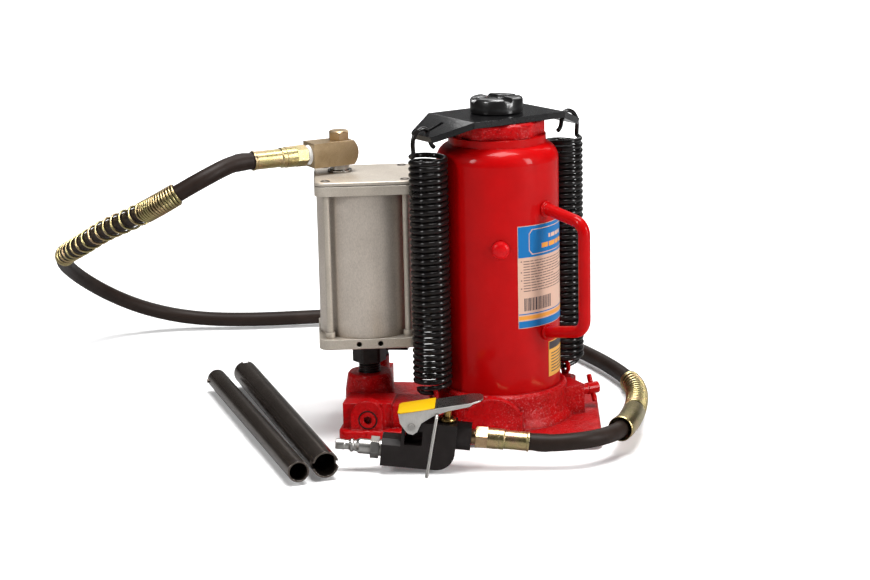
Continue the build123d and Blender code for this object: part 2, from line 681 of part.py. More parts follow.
def make_air_hose(path):
    """Rubber hose with a bore at each end for the barb of its fitting."""
    hose = swept_hose(path, HOSE_R)
    for place, rim in ((motor_hose_place(), HOSE_RIM), (valve_hose_place(), VALVE_RIM)):
        hose += place * Pos(HOSE_INSIDE, 0, 0) * Rot(0, 90, 0) * disc(HOSE_R, 0, rim - HOSE_INSIDE)
        hose -= place * Pos(HOSE_INSIDE - 1, 0, 0) * Rot(0, 90, 0) * disc(HOSE_BORE_R, 0, 18)
    return hose


def guard_between(path, start, end):
    """Sleeve that follows the hose between two shares of its length."""
    part = path.trim(start, end)
    return swept_hose(part, GUARD_R) - swept_hose(part, HOSE_R + 0.3)


# ---- Trigger valve -------------------------------------------------------------------
def make_valve_body():
    """Valve body with the lever's ears, the window under them and the outlet boss."""
    half = VALVE_DEPTH / 2
    low = block(0, 31.6, -half, half, -10, 10)
    low = chamfer(low.edges().filter_by(Axis.X).sort_by(Axis.Z)[-2:], 4)
    ears = block(14, 30.7, -half, half, 0, 27)
    tall = block(29.6, VALVE_LEN, -half, half, -10, 25)
    body = low + ears + tall
    body += along_valve(10.6, 48, OUTLET_END, OUTLET_V)
    corner = Pos(VALVE_LEN - 14, 0, 4) * Rot(90, 0, 0) * Cylinder(14, VALVE_DEPTH)
    body -= block(VALVE_LEN - 14, VALVE_LEN + 1, -half, half, -11, 4) - corner
    body -= block(14, 29.3, -half + 5, half - 5, 12, 30)
    body -= block(16.5, 29.6, -half - 1, half + 1, 7.5, 18.5)
    body -= Pos(LEVER_PIVOT[0], 0, LEVER_PIVOT[1]) * Rot(90, 0, 0) * Cylinder(1.8 + FIT_GAP, 40)
    body -= disc(3 + RUN_GAP, 6, 30, (PLUNGER_U, 0)) + disc(6.2, -4, 12, (PLUNGER_U, 0))
    body -= along_valve(4.9, -1, 12) + along_valve(2.5, 10, 42)
    body -= along_valve(4.85, OUTLET_END - 10, OUTLET_END + 1, OUTLET_V)
    body -= along_valve(2.5, 48, OUTLET_END, OUTLET_V)
    return in_valve(body)


def lever_place():
    """Frame on the lever's pivot, tilted to its released position."""
    return Pos(LEVER_PIVOT[0], 0, LEVER_PIVOT[1]) * Rot(0, -LEVER_TILT, 0)


def make_valve_lever():
    """Folded sheet lever: a top web and two side flanges with the pivot ears."""
    web_v = 10.4
    flange = [(-8, web_v), (-8, 4), (-5.2, -2), (-3.4, -4.6), (0, -6.2), (3.4, -4.6), (7.5, 1.5), (17, 5.5),
              (28, 7.6), (44.6, 8.4), (48.4, web_v)]
    side = extrude(make_face(Polyline([(u, 0, v) for u, v in flange], close=True)), 1.2)
    body = Pos(0, -12.3, 0) * side + Pos(0, 13.5, 0) * side
    web = make_face(Polyline([(-8, -13.5), (46.5, -13.5), (53, -9), (55, -4), (55, 4), (53, 9), (46.5, 13.5),
                              (-8, 13.5)], close=True))
    body += Pos(0, 0, web_v - 0.6) * extrude(web, 1.2)
    for y in (-12.9, 12.9):
        body -= Pos(0, y, 0) * Rot(90, 0, 0) * Cylinder(1.8 + RUN_GAP, 4)
        body -= Pos(LOCK_PIVOT[0], y, LOCK_PIVOT[1]) * Rot(90, 0, 0) * Cylinder(LOCK_WIRE_R + RUN_GAP, 4)
    return in_valve(lever_place() * body)


def make_lever_pin():
    """Riveted pivot of the lever."""
    pin = Pos(LEVER_PIVOT[0], 0, LEVER_PIVOT[1]) * Rot(90, 0, 0) * Cylinder(1.8, 28.6)
    for y in (-14.2, 14.2):
        pin += Pos(LEVER_PIVOT[0], y, LEVER_PIVOT[1]) * Rot(90, 0, 0) * Cylinder(2.3, 1.1)
    return in_valve(pin)


def make_lock_wire():
    """Wire lock that swings on the lever's flanges."""
    u, v = LOCK_PIVOT
    path = FilletPolyline((u, 14.4, v), (u, -16.2, v), LOCK_TIP, radius=3)
    wire = swept_rod(path, LOCK_WIRE_R) + Pos(*LOCK_TIP) * Sphere(LOCK_WIRE_R)
    return in_valve(lever_place() * wire)


def make_valve_plunger():
    """Brass push pin under the lever."""
    return in_valve(disc(3, 8.3, PLUNGER_TOP, (PLUNGER_U, 0)) + disc(5.5, 6.0, 8.4, (PLUNGER_U, 0)))


def make_valve_spring():
    """Coil that closes the valve, as a sleeve."""
    return in_valve(ring(4.7, 3.7, -3.9, 5.9, (PLUNGER_U, 0)))


def make_air_plug():
    """Quick-connect plug with its hexagon."""
    profile = [(0, 0), (6.3, 0), (6.3, 2.0), (5.7, 8.2), (5.7, 16.7), (4.3, 19.0), (4.1, 20.5), (5.0, 21.6),
               (5.0, 22.9), (3.6, 24.4), (3.6, 27.3), (3.95, 27.9), (3.95, 33.9), (3.4, 34.4), (0, 34.4)]
    body = turned(profile) + hex_prism(14.3, 2.0, 8.3, turn=15) + disc(4.8, -8, 0)
    body -= disc(2.4, -9, 36)
    return in_valve(Rot(0, -90, 0) * body)


# ---- Release valve -------------------------------------------------------------------
def make_release_screw():
    """Release screw with a round head drilled for the T-bar."""
    body = Rot(0, 90, 0) * (disc(RELEASE_R, -33, -2) + disc(4.6, -3, 6.6))
    body -= Pos(1.6, 0, 0) * Rot(BAR_TILT, 0, 0) * Cylinder(BAR_R + FIT_GAP, 20)
    return in_release(body)


def make_release_bar():
    """T-bar through the release screw's head."""
    return in_release(Pos(1.6, 0, 0) * Rot(BAR_TILT, 0, 0) * fillet(Cylinder(BAR_R, 22).edges(), 0.8))


# ---- Hand pump -----------------------------------------------------------------------
def make_hand_pump_cylinder():
    """Hand pump's cylinder with its hexagon."""
    at = (HAND_X, HAND_Y)
    body = disc(9.5, 20.5, 56, at) + hex_prism(20.5, HAND_BOSS_TOP + 0.1, 45.5, at, turn=10)
    return body - disc(HAND_PLUNGER_R + RUN_GAP, 20, 57, at)


def make_fulcrum_bracket():
    """Forked bracket clamped on the hand pump's cylinder."""
    foot = disc(15, 46, 52) + block(0, 30, -12.6, 12.6, 46, 52)
    foot -= disc(9.5 + FIT_GAP, 45, 53)
    body = foot
    for y in (-11, 11):
        cheek = block(15.9, 29.9, y - 1.6, y + 1.6, 46, FULCRUM_Z)
        cheek += Pos(22.9, y, FULCRUM_Z) * Rot(90, 0, 0) * Cylinder(7, 3.2)
        body += cheek
    body -= Pos(22.9, 0, FULCRUM_Z) * Rot(90, 0, 0) * Cylinder(3 + FIT_GAP, 40)
    return Pos(HAND_X, HAND_Y, 0) * body


def make_fulcrum_pin():
    """Pin of the handle socket, with a head at each end."""
    pin = Rot(90, 0, 0) * Cylinder(3, 27)
    for y in (-13.6, 13.6):
        pin += Pos(0, y, 0) * Rot(90, 0, 0) * Cylinder(4.6, 1.8)
    return Pos(FULCRUM_X, HAND_Y, FULCRUM_Z) * pin


def pin_position():
    """Plunger pin at rest, measured from the fulcrum."""
    return -PIN_ARM * cos(radians(PIN_ANGLE)), PIN_ARM * sin(radians(PIN_ANGLE))


def make_hand_plunger():
    """Hand pump's plunger with a slotted head."""
    at = (HAND_X, HAND_Y)
    pin_z = FULCRUM_Z + pin_position()[1]
    body = disc(HAND_PLUNGER_R, 30, pin_z - 5, at)
    body += block(HAND_X - 7, HAND_X + 7, HAND_Y - 4.5, HAND_Y + 4.5, pin_z - 7, pin_z + 7)
    slot = Pos(HAND_X, HAND_Y, pin_z) * Rot(90, 0, 0) * extrude(SlotOverall(10.8, 6.7), 6, both=True)
    return body - slot


def make_plunger_pin():
    """Pin that couples the socket to the plunger."""
    px, pz = pin_position()
    return Pos(FULCRUM_X + px, HAND_Y, FULCRUM_Z + pz) * Rot(90, 0, 0) * Cylinder(3, 19)


def make_handle_socket():
    """Socket for the pump handle: two ears, a closed foot and the tube."""
    px, pz = pin_position()
    foot_x, foot_z = SOCKET_FOOT
    lift = Rot(0, SOCKET_TILT - 90, 0)
    ear = [(5, -5.5), (6.5, 0), (4, 6), (px + 4, pz + 9), (foot_x + 14, foot_z + 16), (foot_x - 9, foot_z + 4),
           (foot_x - 4, foot_z - 6), (px - 4, pz - 6.5)]
    plate = extrude(make_face(Polyline([(x, 0, z) for x, z in ear], close=True)), 1.5, both=True)
    body = Pos(0, -7.6, 0) * plate + Pos(0, 7.6, 0) * plate
    tube = disc(SOCKET_R, 0, SOCKET_LEN)
    body += Pos(foot_x, 0, foot_z) * lift * tube
    body -= Pos(foot_x, 0, foot_z) * lift * disc(SOCKET_BORE_R, 6, SOCKET_LEN + 1)
    body -= Rot(90, 0, 0) * Cylinder(3 + RUN_GAP, 40)
    body -= Pos(px, 0, pz) * Rot(90, 0, 0) * Cylinder(3 + 0.02, 40)
    return Pos(FULCRUM_X, HAND_Y, FULCRUM_Z) * body


# ---- Pump handle tubes ---------------------------------------------------------------
def on_floor(tube, radius, near, angle):
    """Lay a handle tube on the floor with its near end at a plan point."""
    return Pos(near[0], near[1], radius) * Rot(0, 0, angle) * tube


def make_thick_handle_tube():
    """Tube that goes into the socket: a slot across its near end and a notch on top of the far one."""
    tube = Rot(0, 90, 0) * ring(THICK_R, THICK_BORE_R, 0, HANDLE_LEN)
    tube -= Pos(2, 0, 0) * Box(12, 4 * THICK_R, 4.4)
    tube -= Pos(HANDLE_LEN, 0, THICK_R) * Box(9, 4.9, THICK_R)
    return on_floor(tube, THICK_R, (-113.5, -146.8), 115.2)


def make_thin_handle_tube():
    """Extension tube with two locking lugs pressed out at its far end."""
    tube = Rot(0, 90, 0) * disc(THIN_R, 0, HANDLE_LEN)
    tube += Pos(HANDLE_LEN - 4, 0, 0) * Rot(90, 0, 0) * Cylinder(1.6, 2 * THIN_R + 2.6)
    tube -= Rot(0, 90, 0) * disc(THIN_BORE_R, -1, HANDLE_LEN + 1)
    return on_floor(tube, THIN_R, (-131.5, -158.3), 116.1)


def main_parts():
    """Every sub-part by the name of its node."""
    path = hose_path()
    front_label, caution_label = make_labels()
    motor_place = motor_hose_place()
    valve_place = valve_hose_place()
    return {
        "base_casting": make_base_casting(),
        "eye_bolts": make_eye_bolts(),
        "pump_plugs": make_plugs(),
        "plug_orings": make_plug_orings(),
        "check_balls": make_check_balls(),
        "check_springs": make_check_springs(),
        "reservoir_tube": make_reservoir_tube(),
        "filler_plug": make_filler_plug(),
        "carry_handle": make_carry_handle(),
        "front_label": front_label,
        "caution_label": caution_label,
        "cylinder_gasket": ring(CYL_R, CYL_BORE_R, CYL_BOTTOM - 1.9, CYL_BOTTOM - 0.05),
        "hydraulic_cylinder": make_hydraulic_cylinder(),
        "gland_sleeve": make_gland_sleeve(),
        "wiper_seal": ring(20.9, RAM_R + RUN_GAP, CYL_TOP + 0.1, CYL_TOP + 2.9),
        "top_nut": make_top_nut(),
        "ram": make_ram(),
        "piston_seal": ring(CYL_BORE_R - 0.02, RAM_R + 0.02, 24.1, 29.9),
        "extension_screw": make_extension_screw(),
        "screw_stop_ring": make_screw_stop_ring(),
        "spring_bracket": make_spring_bracket(),
        "return_spring_right": make_return_spring(0),
        "return_spring_left": make_return_spring(180),
        "motor_bottom_plate": make_motor_bottom_plate(),
        "motor_top_plate": make_motor_top_plate(),
        "air_barrel": make_air_barrel(),
        "tie_rods": make_tie_rods(),
        "tie_rod_collars": make_tie_rod_collars(),
        "motor_stem": make_motor_stem(),
        "stem_nut": make_stem_nut(),
        "air_piston": make_air_piston(),
        "air_piston_seal": make_air_piston_seal(),
        "pump_rod": make_pump_rod(),
        "air_return_spring": make_air_return_spring(),
        "banjo_block": make_banjo_block(),
        "banjo_bolt": make_banjo_bolt(),
        "banjo_washers": make_banjo_washers(),
        "thread_tape": make_thread_tape(),
        "hose_fittings": [motor_place * hose_fitting(14.4, 8.1), valve_place * hose_fitting(15.4, 7.8)],
        "hose_ferrules": [motor_place * hose_ferrule(HOSE_RIM), valve_place * hose_ferrule(VALVE_RIM)],
        "air_hose": make_air_hose(path),
        "hose_guard_left": guard_between(path, *LEFT_GUARD),
        "hose_guard_right": guard_between(path, *RIGHT_GUARD),
        "valve_body": make_valve_body(),
        "valve_lever": make_valve_lever(),
        "lever_pin": make_lever_pin(),
        "lock_wire": make_lock_wire(),
        "valve_plunger": make_valve_plunger(),
        "valve_spring": make_valve_spring(),
        "air_plug": make_air_plug(),
        "release_screw": make_release_screw(),
        "release_bar": make_release_bar(),
        "hand_pump_cylinder": make_hand_pump_cylinder(),
        "fulcrum_bracket": make_fulcrum_bracket(),
        "fulcrum_pin": make_fulcrum_pin(),
        "hand_plunger": make_hand_plunger(),
        "plunger_pin": make_plunger_pin(),
        "handle_socket": make_handle_socket(),
        "thin_handle_tube": make_thin_handle_tube(),
        "thick_handle_tube": make_thick_handle_tube(),
    }


def export_all():
    """Write one STEP file per node."""
    os.makedirs("parts", exist_ok=True)
    nodes = main_parts()
    for name, shape in nodes.items():
        solids = shape if isinstance(shape, list) else [shape]
        flat = [solid for piece in solids for solid in piece.solids()]
        export_step(Compound(children=flat) if len(flat) > 1 else flat[0], f"parts/{name}.step")


export_all()
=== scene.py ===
"""Looks of an air-over-hydraulic bottle jack: coils, hose, threads, labels, materials and studio.

Lengths below are millimetres and become metres when a mesh is made; +Z is up, the ram is on the Z axis.
"""
import json
import math

import bpy
from mathutils import Matrix, Vector


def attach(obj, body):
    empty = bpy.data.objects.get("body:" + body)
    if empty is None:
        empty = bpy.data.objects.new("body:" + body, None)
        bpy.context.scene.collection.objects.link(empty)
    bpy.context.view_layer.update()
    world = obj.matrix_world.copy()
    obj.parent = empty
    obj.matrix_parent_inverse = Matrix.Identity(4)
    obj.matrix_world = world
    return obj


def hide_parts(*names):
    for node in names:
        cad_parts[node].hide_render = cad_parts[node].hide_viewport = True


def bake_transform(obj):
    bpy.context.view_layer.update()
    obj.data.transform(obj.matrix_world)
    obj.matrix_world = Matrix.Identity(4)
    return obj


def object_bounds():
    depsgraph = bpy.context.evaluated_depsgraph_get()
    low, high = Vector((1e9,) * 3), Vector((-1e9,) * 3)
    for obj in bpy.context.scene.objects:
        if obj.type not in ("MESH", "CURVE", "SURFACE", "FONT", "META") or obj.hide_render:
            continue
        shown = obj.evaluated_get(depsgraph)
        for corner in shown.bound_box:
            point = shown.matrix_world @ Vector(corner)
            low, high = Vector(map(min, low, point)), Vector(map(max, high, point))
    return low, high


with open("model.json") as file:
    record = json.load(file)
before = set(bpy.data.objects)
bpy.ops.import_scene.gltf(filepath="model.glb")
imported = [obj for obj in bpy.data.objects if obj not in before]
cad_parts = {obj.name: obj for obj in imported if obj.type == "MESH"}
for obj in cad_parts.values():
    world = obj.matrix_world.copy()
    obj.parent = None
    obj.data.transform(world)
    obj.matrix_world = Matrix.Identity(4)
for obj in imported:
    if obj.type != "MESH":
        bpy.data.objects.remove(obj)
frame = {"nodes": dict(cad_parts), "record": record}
cad_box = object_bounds()
NODES = frame["nodes"]
MM = 0.001

# ---- Return springs: place of the lugs, coil and hooks ---------------------------------
LUG_ANGLE = 41.0
LUG_R = 63.4
SPRING_R = 13.1
SPRING_WIRE = 2.15
HOOK_WIRE = 1.7
SPRING_Z = (42.0, 220.9)
SPRING_TURNS = 38
HOOK_STEP = 1.4
TAPER_RINGS = 12

# ---- Hose: free loop in the air, then its course on the floor ----------------------------
HOSE_R = 6.5
HOSE_TUCKED_R = 6.45
HOSE_SWELL = 0.35
HOSE_STEP = 3
HOSE_START = (24, 36, 48.4, 56.4)
HOSE_END = (51.8, 43.8, 34, 24)
LOOP = [(-206, -62, 212), (-224, -75, 203), (-247, -76, 190), (-276, -54, 174), (-311, -12, 155),
        (-347, 37, 132), (-374, 87, 114.5), (-392, 130, 98.5), (-400, 170, 81.5), (-398.5, 206, 63),
        (-387, 238, 43), (-364, 263, 24.5), (-328, 281, 11)]
FLOOR = [(-280, 289, 6.5), (-190, 307, 6.5), (-100, 309, 6.5), (-30, 279, 6.5), (30, 221, 6.5),
         (75, 152, 6.5), (101.5, 84, 6.5), (105.5, 30, 8.9), (105, -12, 13.6), (102, -48, 16.5),
         (94, -76, 17.3), (79, -95, 17.8), (60, -103.5, 17.5)]

# ---- Guards of the hose: distances along it from the motor end, turns and pitches ---------
GUARD_WIRE = 1.05
LEFT_GUARD_START = 68
LEFT_GUARD_RUNS = [(15, 2.2, 7.75), (1, 8, 7.8), (12.5, 17.0, 8.0), (1, 6, 7.8), (1.6, 2.4, 7.75)]
RIGHT_GUARD_START = 1090
RIGHT_GUARD_RUNS = [(1.5, 2.5, 7.75), (15, 7.2, 8.0)]
CUFF = (1206, 1262)
CUFF_OUTER_R = 9.1
CUFF_INNER_R = 8.5
CUFF_FLARE = 0.5
CUFF_RINGS = 15

# ---- Reservoir, motor and valve ----------------------------------------------------------
TUBE_R = 47.0
ROD_OFFSET = 30.3
PLUNGER_U = 46.5
GROOVE_ANGLES = (35, 125)
GROOVE_R = 4.2
GROOVE_Z = 260.6
MOTOR = (-103.7, -2.7)
MOTOR_TURN = 11.0


# ---- Frames ---------------------------------------------------------------------------
def place(x=0.0, y=0.0, z=0.0):
    return Matrix.Translation((x * MM, y * MM, z * MM))


def turn(degrees, axis="Z"):
    return Matrix.Rotation(math.radians(degrees), 4, axis)


MOTOR_FRAME = place(*MOTOR) @ turn(MOTOR_TURN)
BANJO_FRAME = place(-124.2, 5.4, 215.9) @ turn(36)
MOTOR_HOSE = BANJO_FRAME @ turn(180) @ place(26)
VALVE_FRAME = place(-76.6, -117.1, 14.5) @ turn(5.4) @ turn(5.9, "Y") @ turn(-0.8, "X")
VALVE_HOSE = VALVE_FRAME @ place(65.4, 0, 15)
LEVER_FRAME = VALVE_FRAME @ place(21.1, 0, 22) @ turn(-14.3, "Y")
SPRING_FRAMES = {"right": turn(LUG_ANGLE) @ place(LUG_R), "left": turn(LUG_ANGLE + 180) @ place(LUG_R)}


# ---- Mesh tools -----------------------------------------------------------------------
def add_piece(name, points, faces, material, body, matrix=None, smooth=True):
    """Mesh object from points in metres, riding on a body."""
    mesh = bpy.data.meshes.new(name)
    mesh.from_pydata([tuple(p) for p in points], [], faces)
    if matrix is not None:
        mesh.transform(matrix)
    mesh.validate()
    mesh.update()
    return finish_piece(name, mesh, material, body, smooth)


def finish_piece(name, mesh, material, body, smooth=True):
    """Object for a finished mesh, with its material, shading and body."""
    mesh.polygons.foreach_set("use_smooth", [smooth] * len(mesh.polygons))
    thing = bpy.data.objects.new(name, mesh)
    bpy.context.scene.collection.objects.link(thing)
    for item in material if isinstance(material, (list, tuple)) else [material]:
        mesh.materials.append(item)
    if body:
        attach(thing, body)
    return thing


def path_frames(points):
    """Two side directions at each point of a path, carried along without twist."""
    count = len(points)
    tangents = []
    for i in range(count):
        ahead = points[min(i + 1, count - 1)] - points[max(i - 1, 0)]
        tangents.append(ahead.normalized())
    side = tangents[0].orthogonal().normalized()
    frames = []
    for tangent in tangents:
        side = (side - tangent * side.dot(tangent)).normalized()
        frames.append((side.copy(), tangent.cross(side).normalized()))
    return frames


def sweep(points, radius, sides=12, caps=True):
    """Points and faces of a round bar along a path; radius is a number or one for each point."""
    frames = path_frames(points)
    verts, faces = [], []
    for i, (centre, (a, b)) in enumerate(zip(points, frames)):
        r = radius[i] if isinstance(radius, list) else radius
        for k in range(sides):
            angle = 2 * math.pi * k / sides
            verts.append(centre + (a * math.cos(angle) + b * math.sin(angle)) * r)
    for i in range(len(points) - 1):
        for k in range(sides):
            n = (k + 1) % sides
            faces.append((i * sides + k, i * sides + n, (i + 1) * sides + n, (i + 1) * sides + k))
    if caps:
        faces.append(tuple(reversed(range(sides))))
        faces.append(tuple((len(points) - 1) * sides + k for k in range(sides)))
    return verts, faces


def lathe(profile, steps=48, closed=False):
    """Points and faces of a turned shape about Z from (radius, height) pairs in millimetres."""
    verts, faces = [], []
    rings = []
    for r, z in profile:
        if r < 1e-6:
            rings.append([len(verts)])
            verts.append(Vector((0, 0, z * MM)))
            continue
        rings.append(list(range(len(verts), len(verts) + steps)))
        for k in range(steps):
            a = 2 * math.pi * k / steps
            verts.append(Vector((r * math.cos(a) * MM, r * math.sin(a) * MM, z * MM)))
    pairs = list(zip(rings[:-1], rings[1:])) + ([(rings[-1], rings[0])] if closed else [])
    for low, high in pairs:
        for k in range(steps):
            n = (k + 1) % steps
            quad = [low[k % len(low)], low[n % len(low)], high[n % len(high)], high[k % len(high)]]
            corners = list(dict.fromkeys(quad))
            if len(corners) > 2:
                faces.append(tuple(corners))
    return verts, faces


def cubic(points, spacing):
    """Evenly spaced points on the natural cubic through some points, all in metres."""
    count = len(points)
    gaps = [(q - p).length for p, q in zip(points[:-1], points[1:])]
    lower = [0.0] * count
    second = [Vector((0, 0, 0)) for _ in points]
    for i in range(1, count - 1):
        share = gaps[i - 1] / (gaps[i - 1] + gaps[i])
        slope = (points[i + 1] - points[i]) / gaps[i] - (points[i] - points[i - 1]) / gaps[i - 1]
        scale = share * lower[i - 1] + 2
        lower[i] = (share - 1) / scale
        second[i] = (slope * 6 / (gaps[i - 1] + gaps[i]) - second[i - 1] * share) / scale
    for i in range(count - 2, -1, -1):
        second[i] = second[i + 1] * lower[i] + second[i]
    fine = []
    for i in range(count - 1):
        steps = max(4, int(gaps[i] / 0.001))
        for k in range(steps):
            b = k / steps
            a = 1 - b
            bend = second[i] * (a ** 3 - a) + second[i + 1] * (b ** 3 - b)
            fine.append(points[i] * a + points[i + 1] * b + bend * gaps[i] ** 2 / 6)
    fine.append(points[-1])
    return respace(fine, spacing)


def respace(points, spacing):
    """The same path with points at an even distance."""
    lengths = [0.0]
    for p, q in zip(points[:-1], points[1:]):
        lengths.append(lengths[-1] + (q - p).length)
    count = max(2, round(lengths[-1] / spacing))
    out, j = [], 0
    for i in range(count + 1):
        want = lengths[-1] * i / count
        while j < len(points) - 2 and lengths[j + 1] < want:
            j += 1
        gap = lengths[j + 1] - lengths[j]
        share = (want - lengths[j]) / gap if gap > 0 else 0.0
        out.append(points[j].lerp(points[j + 1], min(max(share, 0.0), 1.0)))
    return out


def vectors(rows):
    return [Vector(row) * MM for row in rows]


def bevelled(name, mesh, width, segments=2, angle=35):
    """Rounds a mesh's edges and returns the new mesh."""
    thing = bpy.data.objects.new(name, mesh)
    bpy.context.scene.collection.objects.link(thing)
    edge = thing.modifiers.new("edge", "BEVEL")
    edge.width = width * MM
    edge.segments = segments
    edge.limit_method = "ANGLE"
    edge.angle_limit = math.radians(angle)
    graph = bpy.context.evaluated_depsgraph_get()
    result = bpy.data.meshes.new_from_object(thing.evaluated_get(graph))
    bpy.data.objects.remove(thing)
    return result


# ---- Materials ------------------------------------------------------------------------
class Look:
    """A node material with a few short ways to add detail to its Principled shader."""

    def __init__(self, name, color, rough, metal=0.0, coat=0.0, coat_rough=0.1):
        self.material = bpy.data.materials.new(name)
        self.material.use_nodes = True
        self.material.diffuse_color = (*color, 1)
        self.tree = self.material.node_tree
        self.shader = self.tree.nodes["Principled BSDF"]
        self.place = self.node("ShaderNodeTexCoord").outputs["Object"]
        self.normal = None
        self.set("Base Color", (*color, 1))
        self.set("Roughness", rough)
        self.set("Metallic", metal)
        self.set("Coat Weight", coat)
        self.set("Coat Roughness", coat_rough)

    def node(self, kind, **values):
        made = self.tree.nodes.new(kind)
        for key, value in values.items():
            setattr(made, key, value)
        return made

    def put(self, socket, value):
        if isinstance(value, bpy.types.NodeSocket):
            self.tree.links.new(value, socket)
        else:
            socket.default_value = value

    def set(self, name, value):
        self.put(self.shader.inputs[name], value)

    def stretched(self, x=1.0, y=1.0, z=1.0):
        """Object coordinates with each axis scaled."""
        mapping = self.node("ShaderNodeMapping")
        self.put(mapping.inputs["Vector"], self.place)
        mapping.inputs["Scale"].default_value = (x, y, z)
        return mapping.outputs["Vector"]

    def noise(self, scale, detail=2.0, rough=0.5, where=None, distortion=0.0):
        made = self.node("ShaderNodeTexNoise")
        self.put(made.inputs["Vector"], where or self.place)
        made.inputs["Scale"].default_value = scale
        made.inputs["Detail"].default_value = detail
        made.inputs["Roughness"].default_value = rough
        made.inputs["Distortion"].default_value = distortion
        return made.outputs["Fac"]

    def wave(self, scale, direction="Z", where=None, distortion=0.0):
        made = self.node("ShaderNodeTexWave", bands_direction=direction)
        self.put(made.inputs["Vector"], where or self.place)
        made.inputs["Scale"].default_value = scale
        made.inputs["Distortion"].default_value = distortion
        return made.outputs["Fac"]

    def ramp(self, value, stops):
        """Colours along a value; each stop is (position, colour)."""
        made = self.node("ShaderNodeValToRGB")
        self.put(made.inputs["Fac"], value)
        band = made.color_ramp
        while len(band.elements) < len(stops):
            band.elements.new(0.5)
        for element, (position, color) in zip(band.elements, stops):
            element.position = position
            element.color = (*color, 1) if isinstance(color, tuple) else (color, color, color, 1)
        return made.outputs["Color"]

    def span(self, value, low, high, start=0.0, end=1.0):
        """A value mapped linearly from one range to another, clamped."""
        made = self.node("ShaderNodeMapRange")
        for name, number in zip(("Value", "From Min", "From Max", "To Min", "To Max"),
                                (value, low, high, start, end)):
            self.put(made.inputs[name], number)
        return made.outputs["Result"]

    def mix(self, share, a, b, kind="MIX"):
        made = self.node("ShaderNodeMix", data_type="RGBA", blend_type=kind)
        self.put(made.inputs["Factor"], share)
        for index, value in ((6, a), (7, b)):
            self.put(made.inputs[index], (*value, 1) if isinstance(value, tuple) else value)
        return made.outputs[2]

    def sum(self, a, b, operation="ADD"):
        made = self.node("ShaderNodeMath", operation=operation)
        self.put(made.inputs[0], a)
        self.put(made.inputs[1], b)
        return made.outputs[0]

    def bump(self, height, strength, depth):
        """Adds relief; depth is in millimetres."""
        made = self.node("ShaderNodeBump")
        self.put(made.inputs["Height"], height)
        made.inputs["Strength"].default_value = strength
        made.inputs["Distance"].default_value = depth * MM
        if self.normal is not None:
            self.put(made.inputs["Normal"], self.normal)
        self.normal = made.outputs["Normal"]
        self.set("Normal", self.normal)
        self.set("Coat Normal", self.normal)

    def painted_crease_shade(self, tone, reach, depth):
        """Paints shade into a tone: darker in corners and under nearby pieces; reach is in millimetres."""
        shade = self.node("ShaderNodeAmbientOcclusion", samples=4)
        shade.inputs["Distance"].default_value = reach * MM
        dark = self.mix(1.0, tone, (depth, depth * 0.92, depth * 0.86), "MULTIPLY")
        return self.mix(self.span(shade.outputs["AO"], 0.2, 0.95), dark, tone)

    def soft_edges(self, radius):
        """Rounds the shading of sharp edges and returns a mask that is 1 along them."""
        rounded = self.node("ShaderNodeBevel", samples=4)
        rounded.inputs["Radius"].default_value = radius * MM
        self.normal = rounded.outputs["Normal"]
        self.set("Normal", self.normal)
        self.set("Coat Normal", self.normal)
        plain = self.node("ShaderNodeNewGeometry").outputs["Normal"]
        dot = self.node("ShaderNodeVectorMath", operation="DOT_PRODUCT")
        self.put(dot.inputs[0], rounded.outputs["Normal"])
        self.put(dot.inputs[1], plain)
        return self.span(dot.outputs["Value"], 0.99, 0.75)


def painted(name, dark, light, grain, grain_depth, lumps, rough, coat, edge=0.6):
    """Gloss paint over metal: tone, painted glints as light specks, relief in two sizes and thin worn edges.
    """
    look = Look(name, light, rough, coat=coat, coat_rough=0.05)
    look.set("Specular IOR Level", 0.06)
    look.set("Coat IOR", 1.36)
    mask = look.soft_edges(edge)
    tone = look.ramp(look.noise(70, 4), [(0.3, dark), (0.7, light)])
    # Painted glints: sparse light specks mixed into the tone.
    glint_specks = look.span(look.noise(900, 2, 0.7), 0.70, 0.78, 0.0, 0.35)
    tone = look.mix(glint_specks, tone, tuple(min(1.0, c * 1.3 + 0.03) for c in light))
    worn = look.sum(mask, look.span(look.noise(240, 3), 0.52, 0.66), "MULTIPLY")
    look.set("Base Color", look.mix(look.sum(worn, 0.45, "MULTIPLY"), tone, tuple(c * 0.5 for c in dark)))
    look.set("Roughness", look.span(look.noise(45, 3), 0.3, 0.7, rough * 0.8, rough * 1.25))
    look.bump(look.noise(grain, 3, 0.6), 0.8, grain_depth)
    look.bump(look.noise(lumps, 2), 0.6, grain_depth * 2.0)
    return look.material


